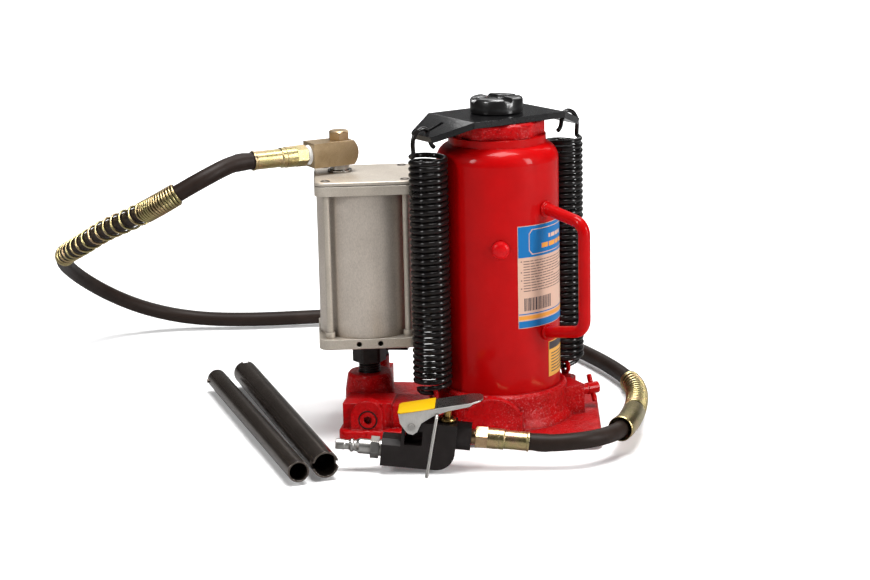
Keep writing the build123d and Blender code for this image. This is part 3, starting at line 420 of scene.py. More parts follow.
def cast_paint(name, dark, light):
    """Gloss paint over a sand-cast skin: pimples with painted highlights as pink sparkles, and pits painted
    dark as shade between them.
    """
    look = Look(name, light, 0.42, coat=0.4, coat_rough=0.08)
    look.set("Specular IOR Level", 0.05)
    look.set("Coat IOR", 1.4)
    mask = look.soft_edges(1.6)
    grain = look.noise(330, 3, 0.62)
    tone = look.ramp(look.noise(60, 4), [(0.3, dark), (0.7, light)])
    # Painted shade: the low points of the grain are darkened as pits.
    tone = look.mix(look.span(grain, 0.46, 0.30, 0.0, 0.5), tone, tuple(c * 0.35 for c in dark))
    # Painted highlights: light pink sparkles in patches, for light caught by the pimples.
    rough_spots = look.span(look.noise(26, 3), 0.42, 0.62)
    painted_sparkles = look.sum(look.span(look.noise(780, 2, 0.7), 0.57, 0.66), rough_spots, "MULTIPLY")
    tone = look.mix(look.sum(painted_sparkles, 0.28, "MULTIPLY"), tone, (0.85, 0.33, 0.34))
    # Lighter pink rims along edges, broken up by noise: partly wear, partly a painted edge highlight.
    worn = look.sum(mask, look.span(look.noise(200, 3), 0.5, 0.64), "MULTIPLY")
    tone = look.mix(look.sum(worn, 0.35, "MULTIPLY"), tone, (0.72, 0.20, 0.21))
    # Painted shade: the tone is darkened in corners and under nearby pieces.
    look.set("Base Color", look.painted_crease_shade(tone, 7, 0.45))
    look.bump(grain, 0.9, 1.0)
    look.bump(look.noise(110, 2), 0.6, 1.3)
    return look.material


def metal(name, stops, rough, grain=(1, 1, 1), scale=900, depth=0.05, patches=60, metallic=1.0, edge=0.35,
          crease_shade_reach=4.0):
    """Bare or plated metal: patchy tone, directional grain, painted shade in creases and brighter edges as a
    painted highlight.
    """
    look = Look(name, stops[-1][1], rough, metallic)
    mask = look.soft_edges(edge)
    tone = look.ramp(look.noise(patches, 4, 0.6, distortion=0.4), stops)
    fine = look.noise(scale, 3, 0.6, look.stretched(*grain))
    tone = look.mix(look.span(fine, 0.35, 0.7, 0.0, 0.22), tone, (0.05, 0.045, 0.04))
    # Painted shade: the tone is darkened in corners and under nearby pieces.
    tone = look.painted_crease_shade(tone, crease_shade_reach, 0.4)
    # Painted highlight: edges are lightened towards near white.
    look.set("Base Color", look.mix(look.sum(mask, 0.3, "MULTIPLY"), tone, (0.85, 0.83, 0.8)))
    look.set("Roughness", look.span(fine, 0.3, 0.7, rough * 0.8, rough * 1.3))
    look.bump(fine, 0.5, depth)
    return look.material


def rubber(name, color, scale=700, depth=0.08, rough=0.62, weave=None):
    """Dull rubber with dust in its pores; weave adds a wrapped-cloth print."""
    look = Look(name, color, rough)
    look.set("Specular IOR Level", 0.14)
    pores = look.noise(scale, 4, 0.6)
    dusty = tuple(c * 1.7 + 0.005 for c in color)
    look.set("Base Color", look.mix(look.span(look.noise(38, 4), 0.45, 0.75, 0.0, 0.6), color, dusty))
    look.set("Roughness", look.span(pores, 0.3, 0.7, rough * 0.85, rough * 1.15))
    look.bump(pores, 0.5, depth)
    if weave:
        look.bump(look.wave(weave, "DIAGONAL", distortion=0.6), 0.25, depth)
    return look.material


def moulded(name, color, rough=0.45, scale=1400, depth=0.04, tint=1.5, edge=0.4):
    """Moulded plastic or smooth film with fine grain."""
    look = Look(name, color, rough, coat=0.06, coat_rough=0.3)
    look.set("Specular IOR Level", 0.15)
    look.soft_edges(edge)
    tone = look.mix(look.span(look.noise(90, 4), 0.4, 0.75, 0.0, 0.5), color,
                    tuple(min(1.0, c * tint + 0.004) for c in color))
    look.set("Base Color", tone)
    fine = look.noise(scale, 3, 0.6)
    look.set("Roughness", look.span(fine, 0.3, 0.7, rough * 0.85, rough * 1.2))
    look.bump(fine, 0.4, depth)
    return look.material


def ribbed_film(name, color, rough, scale, depth, tint):
    """Film over a lever, with faint wavy lines across it and worn spots."""
    look = Look(name, color, rough, coat=0.06, coat_rough=0.3)
    look.set("Specular IOR Level", 0.15)
    look.soft_edges(0.5)
    lines = look.wave(150, "Y", distortion=2.5)
    tone = look.mix(look.span(lines, 0.6, 0.9, 0.0, 0.6), color, tuple(c * 0.55 for c in color))
    worn = look.span(look.noise(scale, 3), 0.62, 0.75, 0.0, 0.35)
    look.set("Base Color", look.mix(worn, tone, tuple(min(1.0, c * tint) for c in color)))
    look.bump(look.noise(900, 3), 0.4, depth)
    return look.material


RED_DARK, RED = (0.34, 0.0004, 0.001), (0.50, 0.0006, 0.0024)
M = {
    "red_cast": cast_paint("red_cast", RED_DARK, RED),
    "red_paint": painted("red_paint", (0.37, 0.0002, 0.0006), (0.42, 0.0003, 0.001),
                         330, 0.02, 90, 0.42, 0.36, 0.8),
    "red_rubber": rubber("red_rubber", (0.46, 0.002, 0.004), 500, 0.03, 0.32),
    "black_paint": painted("black_paint", (0.006, 0.006, 0.0065), (0.012, 0.0115, 0.012),
                           420, 0.03, 110, 0.2, 0.7),
    "coil_black": painted("coil_black", (0.005, 0.004, 0.004), (0.010, 0.0085, 0.008),
                          420, 0.02, 110, 0.3, 0.8),
    "tube_black": metal("tube_black", [(0.3, (0.10, 0.078, 0.066)), (0.7, (0.15, 0.12, 0.10))], 0.2,
                        (1, 1, 1), 500, 0.01, 40, 0.85),
    "black_steel": metal("black_steel", [(0.3, (0.012, 0.011, 0.011)), (0.7, (0.04, 0.035, 0.034))], 0.34,
                         scale=700, depth=0.06, metallic=0.7),
    "bright_steel": metal("bright_steel", [(0.3, (0.5, 0.49, 0.47)), (0.7, (0.62, 0.61, 0.59))], 0.2,
                          (1, 1, 8), 1200, 0.01),
    "motor_metal": metal("motor_metal", [(0.3, (0.50, 0.44, 0.37)), (0.7, (0.60, 0.54, 0.46))], 0.42,
                         scale=1600, depth=0.05, patches=30, metallic=0.5, edge=0.7),
    # The barrel's last number is a wider reach of painted shade, darkening it next to the tie rods.
    "barrel_metal": metal("barrel_metal", [(0.3, (0.60, 0.53, 0.46)), (0.7, (0.72, 0.64, 0.56))], 0.36,
                          (1, 1, 0.4), 1500, 0.03, 24, 0.6, 0.35, 11.0),
    "zinc_gold": metal("zinc_gold", [(0.28, (0.60, 0.38, 0.25)), (0.42, (0.62, 0.46, 0.24)),
                                     (0.58, (0.52, 0.45, 0.20)), (0.75, (0.70, 0.54, 0.36))], 0.3,
                       scale=900, depth=0.02, patches=60),
    "zinc_copper": metal("zinc_copper", [(0.3, (0.46, 0.27, 0.16)), (0.5, (0.60, 0.42, 0.24)),
                                         (0.7, (0.70, 0.50, 0.34))], 0.34, scale=900, depth=0.02, patches=90),
    "dull_gold": metal("dull_gold", [(0.3, (0.38, 0.26, 0.13)), (0.7, (0.60, 0.44, 0.26))], 0.33,
                       (1, 1, 4), 1100, 0.04, 50, 0.85),
    "zinc_silver": metal("zinc_silver", [(0.3, (0.50, 0.48, 0.455)), (0.7, (0.66, 0.64, 0.61))], 0.36,
                         (6, 1, 1), 900, 0.03, 80),
    "lever_steel": metal("lever_steel", [(0.3, (0.20, 0.19, 0.18)), (0.7, (0.34, 0.32, 0.30))], 0.27,
                         (0.6, 8, 8), 700, 0.03, 90, 0.95, 0.5),
    # Lit copy of the lever's steel for its folded sides: lighter tone as a painted highlight, with a wider
    # painted edge highlight.
    "lit_flange_steel": metal("lit_flange_steel", [(0.3, (0.46, 0.45, 0.43)), (0.7, (0.62, 0.60, 0.57))], 0.45,
                          (9, 1, 0.6), 800, 0.05, 90, 0.55, 1.1),
    "brass": metal("brass", [(0.3, (0.48, 0.30, 0.09)), (0.7, (0.66, 0.46, 0.18))], 0.28),
    "hose_rubber": rubber("hose_rubber", (0.017, 0.0105, 0.008), 900, 0.07, 0.46, 260),
    "seal_rubber": rubber("seal_rubber", (0.012, 0.012, 0.012)),
    "white_tape": rubber("white_tape", (0.82, 0.81, 0.78), 260, 0.35, 0.6),
    "valve_black": moulded("valve_black", (0.012, 0.009, 0.0085), 0.45, 1300, 0.06),
    "lever_yellow": ribbed_film("lever_yellow", (0.72, 0.42, 0.003), 0.4, 500, 0.12, 1.05),
    "label_cream": moulded("label_cream", (0.58, 0.38, 0.29), 0.38, 900, 0.01, 1.06, 0.1),
    "label_blue": moulded("label_blue", (0.003, 0.13, 0.36), 0.34, 900, 0.01, 1.2, 0.1),
    "label_orange": moulded("label_orange", (0.66, 0.27, 0.04), 0.36, 900, 0.01, 1.1, 0.1),
    "label_ink": moulded("label_ink", (0.045, 0.04, 0.045), 0.4, 900, 0.01, 1.5, 0.1),
    "label_grey": moulded("label_grey", (0.16, 0.11, 0.09), 0.4, 900, 0.01, 1.2, 0.1),
    "caution_print": moulded("caution_print", (0.66, 0.34, 0.06), 0.36, 900, 0.01, 1.1, 0.1),
}


def dress_cad():
    """Gives each CAD node the material of its slot, with a few nodes of a finer kind."""
    finer = {"air_barrel": "barrel_metal", "label_print": "label_cream", "thin_handle_tube": "tube_black",
             "thick_handle_tube": "tube_black", "valve_lever": "lever_steel", "banjo_washers": "bright_steel"}
    for part in frame["record"]["subparts"]:
        name = part["node"]
        slot_name = part["material_slot"]
        chosen = finer.get(name) or finer.get(slot_name) or slot_name
        mesh = NODES[name].data
        mesh.materials.clear()
        mesh.materials.append(M[chosen])


def copper_at_valve():
    """Hexagon and neck of the valve's hose fitting get a redder plating than the rest."""
    mesh = NODES["hose_fittings"].data
    mesh.materials.append(M["zinc_copper"])
    inverse = VALVE_HOSE.inverted()
    for face in mesh.polygons:
        if -1 * MM < (inverse @ face.center).x < 12.1 * MM and face.center.z < 100 * MM:
            face.material_index = 1


def bright_flanges():
    """The lever's folded sides get a lighter copy of its steel, a painted highlight because they catch more
    light than its brushed top.
    """
    mesh = NODES["valve_lever"].data
    mesh.materials.append(M["lit_flange_steel"])
    across = LEVER_FRAME.inverted().to_3x3()
    for face in mesh.polygons:
        if abs((across @ face.normal).y) > 0.6:
            face.material_index = 1


dress_cad()
copper_at_valve()
bright_flanges()


# ---- Return springs and inner springs -------------------------------------------------
def helix(radius, z0, z1, turns, per_turn=22, direction=1):
    """Points of a coil about Z, in millimetres."""
    count = int(turns * per_turn)
    rows = []
    for i in range(count + 1):
        share = i / count
        angle = direction * 2 * math.pi * turns * share
        rows.append((radius * math.cos(angle), radius * math.sin(angle), z0 + (z1 - z0) * share))
    return rows


def stretch_with(thing, sides, heights, low, high):
    """Bakes a coil's placement into its mesh and works out one weight for each ring of points, from 0 at the
    low height to 1 at the high one; the weights are not used.
    """
    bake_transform(thing)
    weights = []
    for z in heights:
        weights += [min(max((z - low) / (high - low), 0.0), 1.0)] * sides


def return_spring(side):
    """Extension spring with a long hook at each end."""
    bottom, top = SPRING_Z
    lower = vectors([(-4.8, 0, 39.2), (-4.5, 0, 37.2), (-2.6, 0, 35.6), (-0.3, 0, 35.3), (2.4, 0, 35.6),
                     (6.0, 0, 36.2), (9.8, 0, 37.4), (12.3, -0.3, 39.4), (13.1, -0.3, 41.2)])
    upper = vectors([(13.1, 0.3, top + 0.9), (13.4, 0.6, 225.0), (13.5, 0.3, 229), (12.8, 0, 234.5),
                     (10.2, 0, 239.2), (6.6, 0, 241.6), (2.8, 0, 241.9), (-0.2, 0, 239.8), (-1.7, 0, 236),
                     (-2.2, 0, 232), (-3.6, 0, 228.6), (-5.8, 0, 226.8)])
    middle = vectors(helix(SPRING_R, bottom, top, SPRING_TURNS))
    lower_hook = cubic(lower, HOOK_STEP * MM)
    upper_hook = cubic(upper, HOOK_STEP * MM)
    points = lower_hook + middle[1:-1] + upper_hook
    radii = [HOOK_WIRE * MM] * len(lower_hook)
    radii += [SPRING_WIRE * MM] * (len(middle) - 2)
    radii += [HOOK_WIRE * MM] * len(upper_hook)
    for i in range(1, TAPER_RINGS):
        grown = (HOOK_WIRE + (SPRING_WIRE - HOOK_WIRE) * i / TAPER_RINGS) * MM
        radii[len(lower_hook) + i - 1] = grown
        radii[-len(upper_hook) - i] = grown
    sides = 12
    verts, faces = sweep(points, radii, sides)
    name = f"return_coil_{side}"
    thing = add_piece(name, verts, faces, M["coil_black"], None, SPRING_FRAMES[side])
    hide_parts(f"return_spring_{side}")
    stretch_with(thing, sides, [p.z / MM for p in points], bottom - 2, top + 2)
    return thing


def inner_spring(name, node, radius, wire, z0, z1, turns, matrix, body, moving=None):
    """Compression spring, an even coil from end to end."""
    coil = helix(radius, z0 + wire, z1 - wire, turns)
    points = vectors(coil)
    sides = 10
    verts, faces = sweep(points, wire * MM, sides)
    thing = add_piece(name, verts, faces, M["bright_steel"], None if moving else body, matrix)
    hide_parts(node)
    if moving:
        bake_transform(thing)
        weights = []
        for row in coil:
            weights += [min(max((row[2] - z0) / (z1 - z0), 0.0), 1.0)] * sides
    return thing


for spring_side in SPRING_FRAMES:
    return_spring(spring_side)
inner_spring("air_piston_coil", "air_return_spring", 15.0, 1.1, 81.0, 173.9, 9,
             MOTOR_FRAME, "base", "air_piston")
inner_spring("valve_coil", "valve_spring", 4.2, 0.45, -3.9, 5.9, 5,
             VALVE_FRAME @ place(PLUNGER_U), "base", "valve_plunger")
inner_spring("check_coil_front", "check_springs", 2.45, 0.35, -8.4, -6.3, 2.2,
             place(-97, -57, 17) @ turn(-90) @ turn(90, "Y"), "base")
inner_spring("check_coil_back", "check_springs", 2.45, 0.35, -8.4, -6.3, 2.2,
             place(-110, 80.5, 15) @ turn(90) @ turn(90, "Y"), "base")


# ---- Hose and its guard coils ---------------------------------------------------------
def hose_ends():
    """Straight starts of the hose inside each ferrule, in metres."""
    first = [MOTOR_HOSE @ Vector((x * MM, 0, 0)) for x in HOSE_START]
    last = [VALVE_HOSE @ Vector((x * MM, 0, 0)) for x in HOSE_END]
    return first, last


def hose_course():
    """All points of the hose, and those of its free length between the ferrules."""
    first, last = hose_ends()
    free = cubic(first[2:] + vectors(LOOP + FLOOR) + last[:2], HOSE_STEP * MM)
    return first[:2] + free + last[2:], free


def air_hose(points):
    """Rubber hose, slightly swollen where it leaves each ferrule."""
    count = len(points)
    radii = []
    for i in range(count):
        near = min(i, count - 1 - i)
        free_radius = HOSE_R + (HOSE_SWELL if 3 < near < 7 else 0.0)
        radii.append((free_radius if near > 1 else HOSE_TUCKED_R) * MM)
    verts, faces = sweep(points, radii, 28)
    thing = add_piece("hose_skin", verts, faces, M["hose_rubber"], "base")
    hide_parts("air_hose")


def along(points, frames, distance):
    """Centre and side directions at a distance in millimetres along evenly spaced points."""
    where = distance * MM / (points[1] - points[0]).length
    index = min(int(where), len(points) - 2)
    return points[index].lerp(points[index + 1], where - index), frames[index]


def coil_along(points, frames, start, runs, wire):
    """Points and faces of a coil round a path; runs hold (turns, pitch, radius) in millimetres."""
    distance, angle, rows = start, 0.0, []
    for turns, pitch, radius in runs:
        count = max(8, int(turns * 20))
        for _ in range(count):
            centre, (a, b) = along(points, frames, distance)
            rows.append(centre + (a * math.cos(angle) + b * math.sin(angle)) * radius * MM)
            angle += 2 * math.pi * turns / count
            distance += pitch * turns / count
    return sweep(rows, wire * MM, 10)


def cuff_along(points, frames, rings, sides=40):
    """Thin sleeve round a path; rings hold (distance, radius) pairs once round its section."""
    verts, faces = [], []
    for distance, radius in rings:
        centre, (a, b) = along(points, frames, distance)
        for k in range(sides):
            angle = 2 * math.pi * k / sides
            verts.append(centre + (a * math.cos(angle) + b * math.sin(angle)) * radius * MM)
    for i in range(len(rings)):
        ahead = (i + 1) % len(rings)
        for k in range(sides):
            n = (k + 1) % sides
            faces.append((i * sides + k, i * sides + n, ahead * sides + n, ahead * sides + k))
    return verts, faces


def cuff_rings():
    """Section of the flared cuff: outside from end to end, then back along the inside."""
    shares = [step / (CUFF_RINGS - 1) for step in range(CUFF_RINGS)]
    start, end = CUFF
    outside = [(start + share * (end - start), CUFF_OUTER_R + CUFF_FLARE * share ** 4) for share in shares]
    inside = [(end - share * (end - start), CUFF_INNER_R + CUFF_FLARE * (1 - share) ** 4) for share in shares]
    return outside + inside


def guard(name, node, parts):
    """One guard: all its coils and sleeves as one piece."""
    verts, faces = [], []
    for more, sides in parts:
        faces += [tuple(index + len(verts) for index in face) for face in sides]
        verts += more
    thing = add_piece(name, verts, faces, M["zinc_gold"], "base")
    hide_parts(node)


hose_points, free_hose = hose_course()
hose_frames = path_frames(free_hose)
air_hose(hose_points)
guard("guard_coil_left", "hose_guard_left",
      [coil_along(free_hose, hose_frames, LEFT_GUARD_START, LEFT_GUARD_RUNS, GUARD_WIRE)])
guard("guard_coil_right", "hose_guard_right",
      [coil_along(free_hose, hose_frames, RIGHT_GUARD_START, RIGHT_GUARD_RUNS, GUARD_WIRE),
       cuff_along(free_hose, hose_frames, cuff_rings())])


# ---- Threads --------------------------------------------------------------------------
def threaded(major, depth, z0, z1, pitch, inner=0.0, steps=48, rows=12):
    """Points and faces of a rod or tube about Z with a rounded trapezoid thread outside."""
    count = int((z1 - z0) / pitch * rows)
    verts, faces = [], []
    for i in range(count + 1):
        z = z0 + (z1 - z0) * i / count
        taper = min(1.0, (z - z0) / (0.6 * pitch), (z1 - z) / (0.6 * pitch))
        for k in range(steps):
            angle = 2 * math.pi * k / steps
            phase = (z / pitch - k / steps) % 1.0
            wave = 0.5 + 0.5 * math.cos(2 * math.pi * phase)
            crest = min(1.0, max(0.0, (wave - 0.25) * 2.0))
            r = (major - depth * (1 - crest * taper)) * MM
            verts.append(Vector((r * math.cos(angle), r * math.sin(angle), z * MM)))
    for i in range(count):
        for k in range(steps):
            n = (k + 1) % steps
            faces.append((i * steps + k, i * steps + n, (i + 1) * steps + n, (i + 1) * steps + k))
    last = count * steps
    if inner:
        base = len(verts)
        for z in (z1, z0):
            for k in range(steps):
                angle = 2 * math.pi * k / steps
                verts.append(Vector((inner * MM * math.cos(angle), inner * MM * math.sin(angle), z * MM)))
        for k in range(steps):
            n = (k + 1) % steps
            faces.append((last + k, last + n, base + n, base + k))
            faces.append((base + k, base + n, base + steps + n, base + steps + k))
            faces.append((base + steps + k, base + steps + n, n, k))
    else:
        faces.append(tuple(reversed(range(steps))))
        faces.append(tuple(last + k for k in range(steps)))
    return verts, faces


def saddle_look():
    """Black paint with traces of red from the jack's own coat, and bare worn rims."""
    look = Look("saddle_black", (0.012, 0.011, 0.011), 0.3, 0.0, 0.7, 0.12)
    mask = look.soft_edges(0.7)
    red = look.span(look.noise(110, 4, 0.6), 0.68, 0.73)
    tone = look.mix(look.sum(red, 0.5, "MULTIPLY"), (0.011, 0.0105, 0.0105), (0.22, 0.003, 0.005))
    worn = look.sum(mask, look.span(look.noise(300, 2), 0.42, 0.6), "MULTIPLY")
    look.set("Base Color", look.mix(look.sum(worn, 0.6, "MULTIPLY"), tone, (0.16, 0.15, 0.145)))
    look.bump(look.noise(420, 3, 0.6), 0.5, 0.12)
    return look.material


def saddle_mesh():
    """Round saddle with two crossing grooves and rounded rims."""
    profile = [(0, 247.8), (19.3, 247.8), (20.3, 248.8), (20.3, 257.6), (19.6, 259.0), (18.2, 259.8),
               (16.8, 260.0), (0, 260.0)]
    verts, faces = lathe(profile, 96)
    mesh = bpy.data.meshes.new("saddle")
    mesh.from_pydata([tuple(v) for v in verts], [], faces)
    body = bpy.data.objects.new("saddle_cut", mesh)
    bpy.context.scene.collection.objects.link(body)
    cutters = []
    for angle in GROOVE_ANGLES:
        groove = bpy.data.meshes.new("groove")
        points, sides = sweep([Vector((x * MM, 0, 0)) for x in (-30, 30)], GROOVE_R * MM, 40)
        groove.from_pydata([tuple(p) for p in points], [], sides)
        groove.transform(place(0, 0, GROOVE_Z) @ turn(angle))
        cutter = bpy.data.objects.new("groove", groove)
        bpy.context.scene.collection.objects.link(cutter)
        cutters.append(cutter)
        cut = body.modifiers.new("cut", "BOOLEAN")
        cut.operation = "DIFFERENCE"
        cut.solver = "EXACT"
        cut.object = cutter
    graph = bpy.context.evaluated_depsgraph_get()
    result = bpy.data.meshes.new_from_object(body.evaluated_get(graph))
    for extra in cutters + [body]:
        bpy.data.objects.remove(extra)
    return bevelled("saddle_head", result, 0.5, 2, 40)


def extension_screw():
    """Saddle and threaded shank of the extension screw."""
    M["saddle_black"] = saddle_look()
    saddle = finish_piece("saddle_head", saddle_mesh(), M["saddle_black"], "screw", smooth=True)
    shank = add_piece("screw_thread", *threaded(12.4, 1.5, 140, 247.9, 6.0), M["black_steel"], "screw")
    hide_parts("extension_screw")


def motor_stem():
    """Threaded tube under the air motor, with its flat head inside the barrel."""
    stem = add_piece("stem_thread", *threaded(8.5, 0.7, 20.5, 77.5, 2.0, 5.05, 40, 10), M["black_steel"],
                     "base", MOTOR_FRAME)
    profile = [(5.05, 77.5), (12, 77.5), (12, 80.2), (11.4, 80.9), (5.05, 80.9)]
    head = add_piece("stem_head", *lathe(profile, 48, True), M["black_steel"], "base", MOTOR_FRAME)
    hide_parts("motor_stem")


extension_screw()
motor_stem()


# ---- Labels ---------------------------------------------------------------------------
def curved_boxes(patches, layer=0.23):
    """Thin curved plates on the reservoir; a patch is (angle0, angle1, z0, z1, level, material index)."""
    verts, faces, kinds = [], [], []
    for a0, a1, z0, z1, level, kind in patches:
        steps = max(1, int(abs(a1 - a0) / 2))
        first = len(verts)
        low = TUBE_R + layer + 0.05 * (level - 1) - 0.01
        for i in range(steps + 1):
            angle = math.radians(a0 + (a1 - a0) * i / steps)
            for r, z in ((low, z0), (low + 0.06, z0), (low + 0.06, z1), (low, z1)):
                verts.append(Vector((r * math.cos(angle), r * math.sin(angle), z)) * MM)
        made = [(first, first + 1, first + 2, first + 3)]
        for i in range(steps):
            at = first + 4 * i
            for k in range(4):
                n = (k + 1) % 4
                made.append((at + k, at + 4 + k, at + 4 + n, at + n))
        end = first + 4 * steps
        made.append((end + 3, end + 2, end + 1, end))
        faces += made
        kinds += [kind] * len(made)
    return verts, faces, kinds


def label_print(name, patches, inks):
    verts, faces, kinds = curved_boxes(patches)
    thing = add_piece(name, verts, faces, [M[ink] for ink in inks], "base", smooth=False)
    thing.data.polygons.foreach_set("material_index", kinds)


def front_patches():
    """Bands, plain lines and bars of the main label; no lettering."""
    left, right, low, high = -65.6, 19.6, 87.9, 166.6
    blue, cream, orange, ink, grey = range(5)
    rows = [(left, right, high - 24, high, 1, blue), (left, right, low, low + 5.2, 1, blue),
            (left, right, low + 6.2, low + 9.2, 1, orange), (left, right, low + 10.2, low + 11.0, 1, blue)]
    rows += [(-51.2, 19, high - 3.2, high - 2.6, 2, cream), (-51.2, 19, high - 22.2, high - 21.6, 2, cream),
             (-54.7, -54.0, high - 18.9, high - 5.9, 2, cream)]
    for step in range(4):
        at, rise = -54.6 + 0.9 * step, 0.9 * step
        rows += [(at, at + 1.0, high - 6.4 + rise, high - 5.4 + rise, 2, cream),
                 (at, at + 1.0, high - 19.4 - rise, high - 18.4 - rise, 2, cream)]
    for start, widths, top, tall, color in ((-30, (3, 7, 5, 6), high - 8.4, 3.0, cream),
                                            (-40, (9, 11, 6, 9), high - 14.6, 3.6, orange)):
        for width in widths:
            rows.append((start, start + width, top - tall, top, 2, color))
            start += width + 1.4
    for line in range(12):
        z = high - 27.4 - line * 2.1
        reach = -60 + (70, 66, 74, 50, 72, 74, 38, 73, 68, 74, 61, 71)[line]
        if line in (0, 4, 7, 10):
            rows.append((-63.2, -62.0, z, z + 0.8, 1, ink))
        at = -60.5
        while at < reach:
            word = 3.0 + (at * 7.3 + line * 5.1) % 5.0
            rows.append((at, min(at + word, reach), z, z + 0.7, 1, grey))
            at += word + 0.8
    at = -60.0
    for width in (1.2, 0.6, 0.9, 1.5, 0.6, 1.2, 0.7, 1.6, 0.6, 0.9, 1.3, 0.6, 1.1, 0.7, 1.4, 0.6, 1.2,
                  0.7, 1.0):
        rows.append((at, at + width, low + 13.0, low + 23.0, 1, ink))
        at += width + 0.8
    return rows


def caution_patches():
    """Dark band and plain lines of the smaller label; no lettering."""
    rows = [(-30.4, 15.4, 66.5, 72.4, 1, 0)]
    for line in range(7):
        rows.append((-27, (12, 9, 12, 4, 11, 12, 6)[line], 62.6 - 2.4 * line, 63.4 - 2.4 * line, 1, 0))
    return rows


label_print("front_label_print", front_patches(),
            ["label_blue", "label_cream", "label_orange", "label_ink", "label_grey"])
label_print("caution_label_print", caution_patches(), ["label_ink"])


# ---- Peened rims round the tie rod ends -------------------------------------------------
def peened_rims():
    """Low dark rims where the tie rods are riveted over the top plate."""
    verts, faces = [], []
    for x, y in ((-ROD_OFFSET, -ROD_OFFSET), (ROD_OFFSET, -ROD_OFFSET),
                 (ROD_OFFSET, ROD_OFFSET), (-ROD_OFFSET, ROD_OFFSET)):
        more, sides = lathe([(2.7, 200.2), (3.7, 200.2), (3.5, 200.75), (2.9, 200.75)], 32, True)
        faces += [tuple(index + len(verts) for index in face) for face in sides]
        verts += [v + Vector((x * MM, y * MM, 0)) for v in more]
    rims = add_piece("peened_rims", verts, faces, M["black_steel"], "base", MOTOR_FRAME)


peened_rims()


# ---- Small pieces of the trigger valve --------------------------------------------------
def prism(outline, z0, z1):
    """Points and faces of an upright prism from a plan outline in millimetres."""
    count = len(outline)
    verts = [Vector((x, y, z)) * MM for z in (z0, z1) for x, y in outline]
    faces = [tuple(reversed(range(count))), tuple(range(count, 2 * count))]
    faces += [(k, (k + 1) % count, count + (k + 1) % count, count + k) for k in range(count)]
    return verts, faces


def bevelled_piece(name, verts, faces, material, body, matrix, width, segments=2):
    """Piece from points and faces, with rounded edges."""
    mesh = bpy.data.meshes.new(name)
    mesh.from_pydata([tuple(v) for v in verts], [], faces)
    mesh.transform(matrix)
    return finish_piece(name, bevelled(name, mesh, width, segments), material, body)


def valve_pieces():
    """Gland round the push pin, blank behind the window and yellow cover of the lever."""
    profile = [(3.2, 25.05), (6.8, 25.05), (6.8, 27.4), (5.9, 28.4), (3.2, 28.4)]
    gland = add_piece("plunger_gland", *lathe(profile, 40, True), M["brass"], "base",
                      VALVE_FRAME @ place(PLUNGER_U))
    outline = [(16.6, 10.2), (29.5, 10.2), (29.5, 11.2), (16.6, 11.2)]
    blank = bevelled_piece("window_blank", *prism(outline, 7.6, 18.4), M["valve_black"], "base",
                           VALVE_FRAME, 0.15)
    outline = [(-8.5, -11.5), (-6.5, -14.0), (19.2, -14.0), (19.2, 14.0), (-6.5, 14.0), (-8.5, 11.5)]
    cover = bevelled_piece("lever_cover", *prism(outline, 11.02, 12.0), M["lever_yellow"], "valve_lever",
                           LEVER_FRAME, 0.35)


valve_pieces()


# ---- Stage, light and camera ------------------------------------------------------------
LENS_MM = 88.97
EYE = (0.1774, -1.6218, 0.5002)
VIEW_ANGLES = (8, 13.5, 1.25)


def stage():
    """Pale floor that rises into a backdrop behind the object."""
    look = bpy.data.materials.new("studio_floor")
    look.use_nodes = True
    nodes, links = look.node_tree.nodes, look.node_tree.links
    shader = nodes["Principled BSDF"]
    pale = nodes.new("ShaderNodeMix")
    pale.data_type = "RGBA"
    pale.inputs[6].default_value = (0.93, 0.93, 0.93, 1)
    pale.inputs[7].default_value = (0.3, 0.3, 0.3, 1)
    links.new(nodes.new("ShaderNodeLightPath").outputs["Is Glossy Ray"], pale.inputs["Factor"])
    links.new(pale.outputs[2], shader.inputs["Base Color"])
    shader.inputs["Roughness"].default_value = 0.75
    shader.inputs["Specular IOR Level"].default_value = 0.2
    distance = nodes.new("ShaderNodeVectorMath")
    distance.operation = "LENGTH"
    glow = nodes.new("ShaderNodeMapRange")
    for name, number in (("From Min", 0.5), ("From Max", 1.6), ("To Min", 0.12), ("To Max", 1.0)):
        glow.inputs[name].default_value = number
    seen = nodes.new("ShaderNodeLightPath").outputs["Is Camera Ray"]
    share = nodes.new("ShaderNodeMath")
    share.operation = "MULTIPLY"
    links.new(nodes.new("ShaderNodeTexCoord").outputs["Object"], distance.inputs[0])
    links.new(distance.outputs["Value"], glow.inputs["Value"])
    links.new(glow.outputs["Result"], share.inputs[0])
    links.new(seen, share.inputs[1])
    links.new(share.outputs[0], shader.inputs["Emission Strength"])
    shader.inputs["Emission Color"].default_value = (1, 1, 1, 1)
    profile = [(-6.0, 0.0), (3.0, 0.0)]
    for i in range(1, 13):
        angle = math.radians(90 * i / 12)
        profile.append((3.0 + 1.5 * math.sin(angle), 1.5 - 1.5 * math.cos(angle)))
    profile.append((4.5, 6.0))
    floor_z = cad_box[0].z - 0.0004
    verts = [(x, y, z + floor_z) for y, z in profile for x in (-12, 12)]
    faces = [(2 * i, 2 * i + 1, 2 * i + 3, 2 * i + 2) for i in range(len(profile) - 1)]
    mesh = bpy.data.meshes.new("studio_floor")
    mesh.from_pydata(verts, [], faces)
    mesh.polygons.foreach_set("use_smooth", [True] * len(faces))
    mesh.materials.append(look)
    thing = bpy.data.objects.new("studio_floor", mesh)
    bpy.context.scene.collection.objects.link(thing)


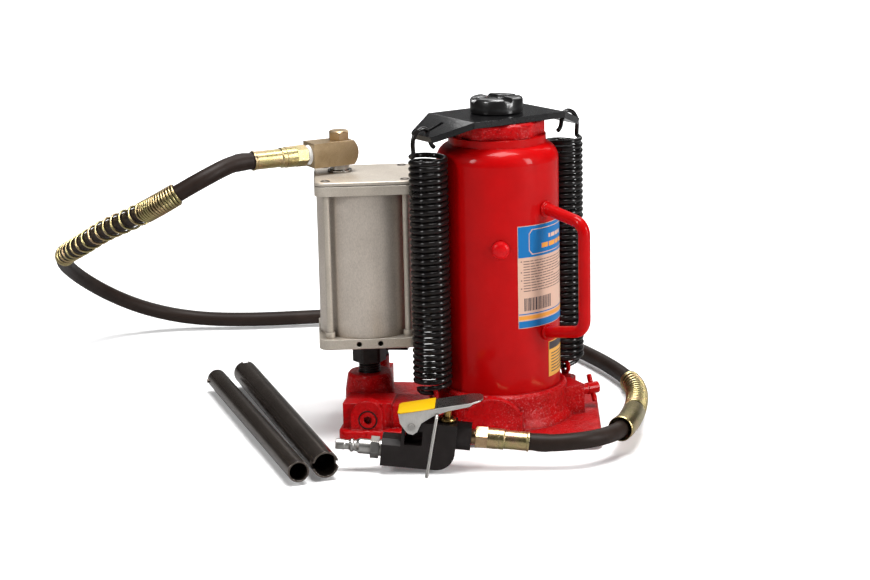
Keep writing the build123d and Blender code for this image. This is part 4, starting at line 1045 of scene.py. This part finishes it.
def area_light(name, place_at, target, size, power, tint=(1, 1, 1)):
    lamp = bpy.data.lights.new(name, "AREA")
    lamp.shape = "RECTANGLE"
    lamp.size, lamp.size_y = size
    lamp.energy = power
    lamp.color = tint
    thing = bpy.data.objects.new(name, lamp)
    bpy.context.scene.collection.objects.link(thing)
    thing.location = place_at
    thing.rotation_euler = (Vector(target) - Vector(place_at)).to_track_quat("-Z", "Y").to_euler()


def studio():
    stage()
    world = bpy.data.worlds.new("studio")
    world.use_nodes = True
    sky = world.node_tree.nodes["Background"]
    seen = world.node_tree.nodes.new("ShaderNodeLightPath").outputs["Is Camera Ray"]
    level = world.node_tree.nodes.new("ShaderNodeMapRange")
    level.inputs["To Min"].default_value = 0.34
    level.inputs["To Max"].default_value = 1.0
    mirrored = world.node_tree.nodes.new("ShaderNodeLightPath").outputs["Is Glossy Ray"]
    dimmed = world.node_tree.nodes.new("ShaderNodeMapRange")
    dimmed.inputs["To Min"].default_value = 1.0
    dimmed.inputs["To Max"].default_value = 0.4
    share = world.node_tree.nodes.new("ShaderNodeMath")
    share.operation = "MULTIPLY"
    world.node_tree.links.new(seen, level.inputs["Value"])
    world.node_tree.links.new(mirrored, dimmed.inputs["Value"])
    world.node_tree.links.new(level.outputs["Result"], share.inputs[0])
    world.node_tree.links.new(dimmed.outputs["Result"], share.inputs[1])
    world.node_tree.links.new(share.outputs[0], sky.inputs["Strength"])
    bpy.context.scene.world = world
    bpy.context.scene.view_settings.view_transform = "Standard"
    middle = (-0.05, 0.0, 0.12)
    area_light("key_left", (-1.6, -1.7, 1.5), middle, (0.45, 0.8), 26)
    area_light("fill_right", (1.8, -0.7, 0.8), middle, (0.4, 1.2), 30)
    area_light("top", (0.1, -0.1, 2.0), middle, (1.0, 1.0), 55)
    area_light("back", (0.2, 1.8, 1.5), middle, (2.0, 1.2), 14)


def camera():
    """Long lens, slightly above and to the right, with a small roll."""
    azimuth, pitch, roll = (math.radians(angle) for angle in VIEW_ANGLES)
    right = Vector((math.cos(azimuth), math.sin(azimuth), 0))
    level = math.cos(pitch)
    ahead = Vector((-math.sin(azimuth) * level, math.cos(azimuth) * level, -math.sin(pitch)))
    up = right.cross(ahead)
    across = right * math.cos(roll) - up * math.sin(roll)
    above = right * math.sin(roll) + up * math.cos(roll)
    lens = bpy.data.cameras.new("camera")
    lens.lens = LENS_MM
    lens.sensor_width = 36
    lens.clip_start = 0.05
    lens.clip_end = 50
    thing = bpy.data.objects.new("camera", lens)
    bpy.context.scene.collection.objects.link(thing)
    turn_to = Matrix((across, above, -ahead)).transposed().to_4x4()
    thing.matrix_world = Matrix.Translation(EYE) @ turn_to
    bpy.context.scene.camera = thing


studio()
camera()
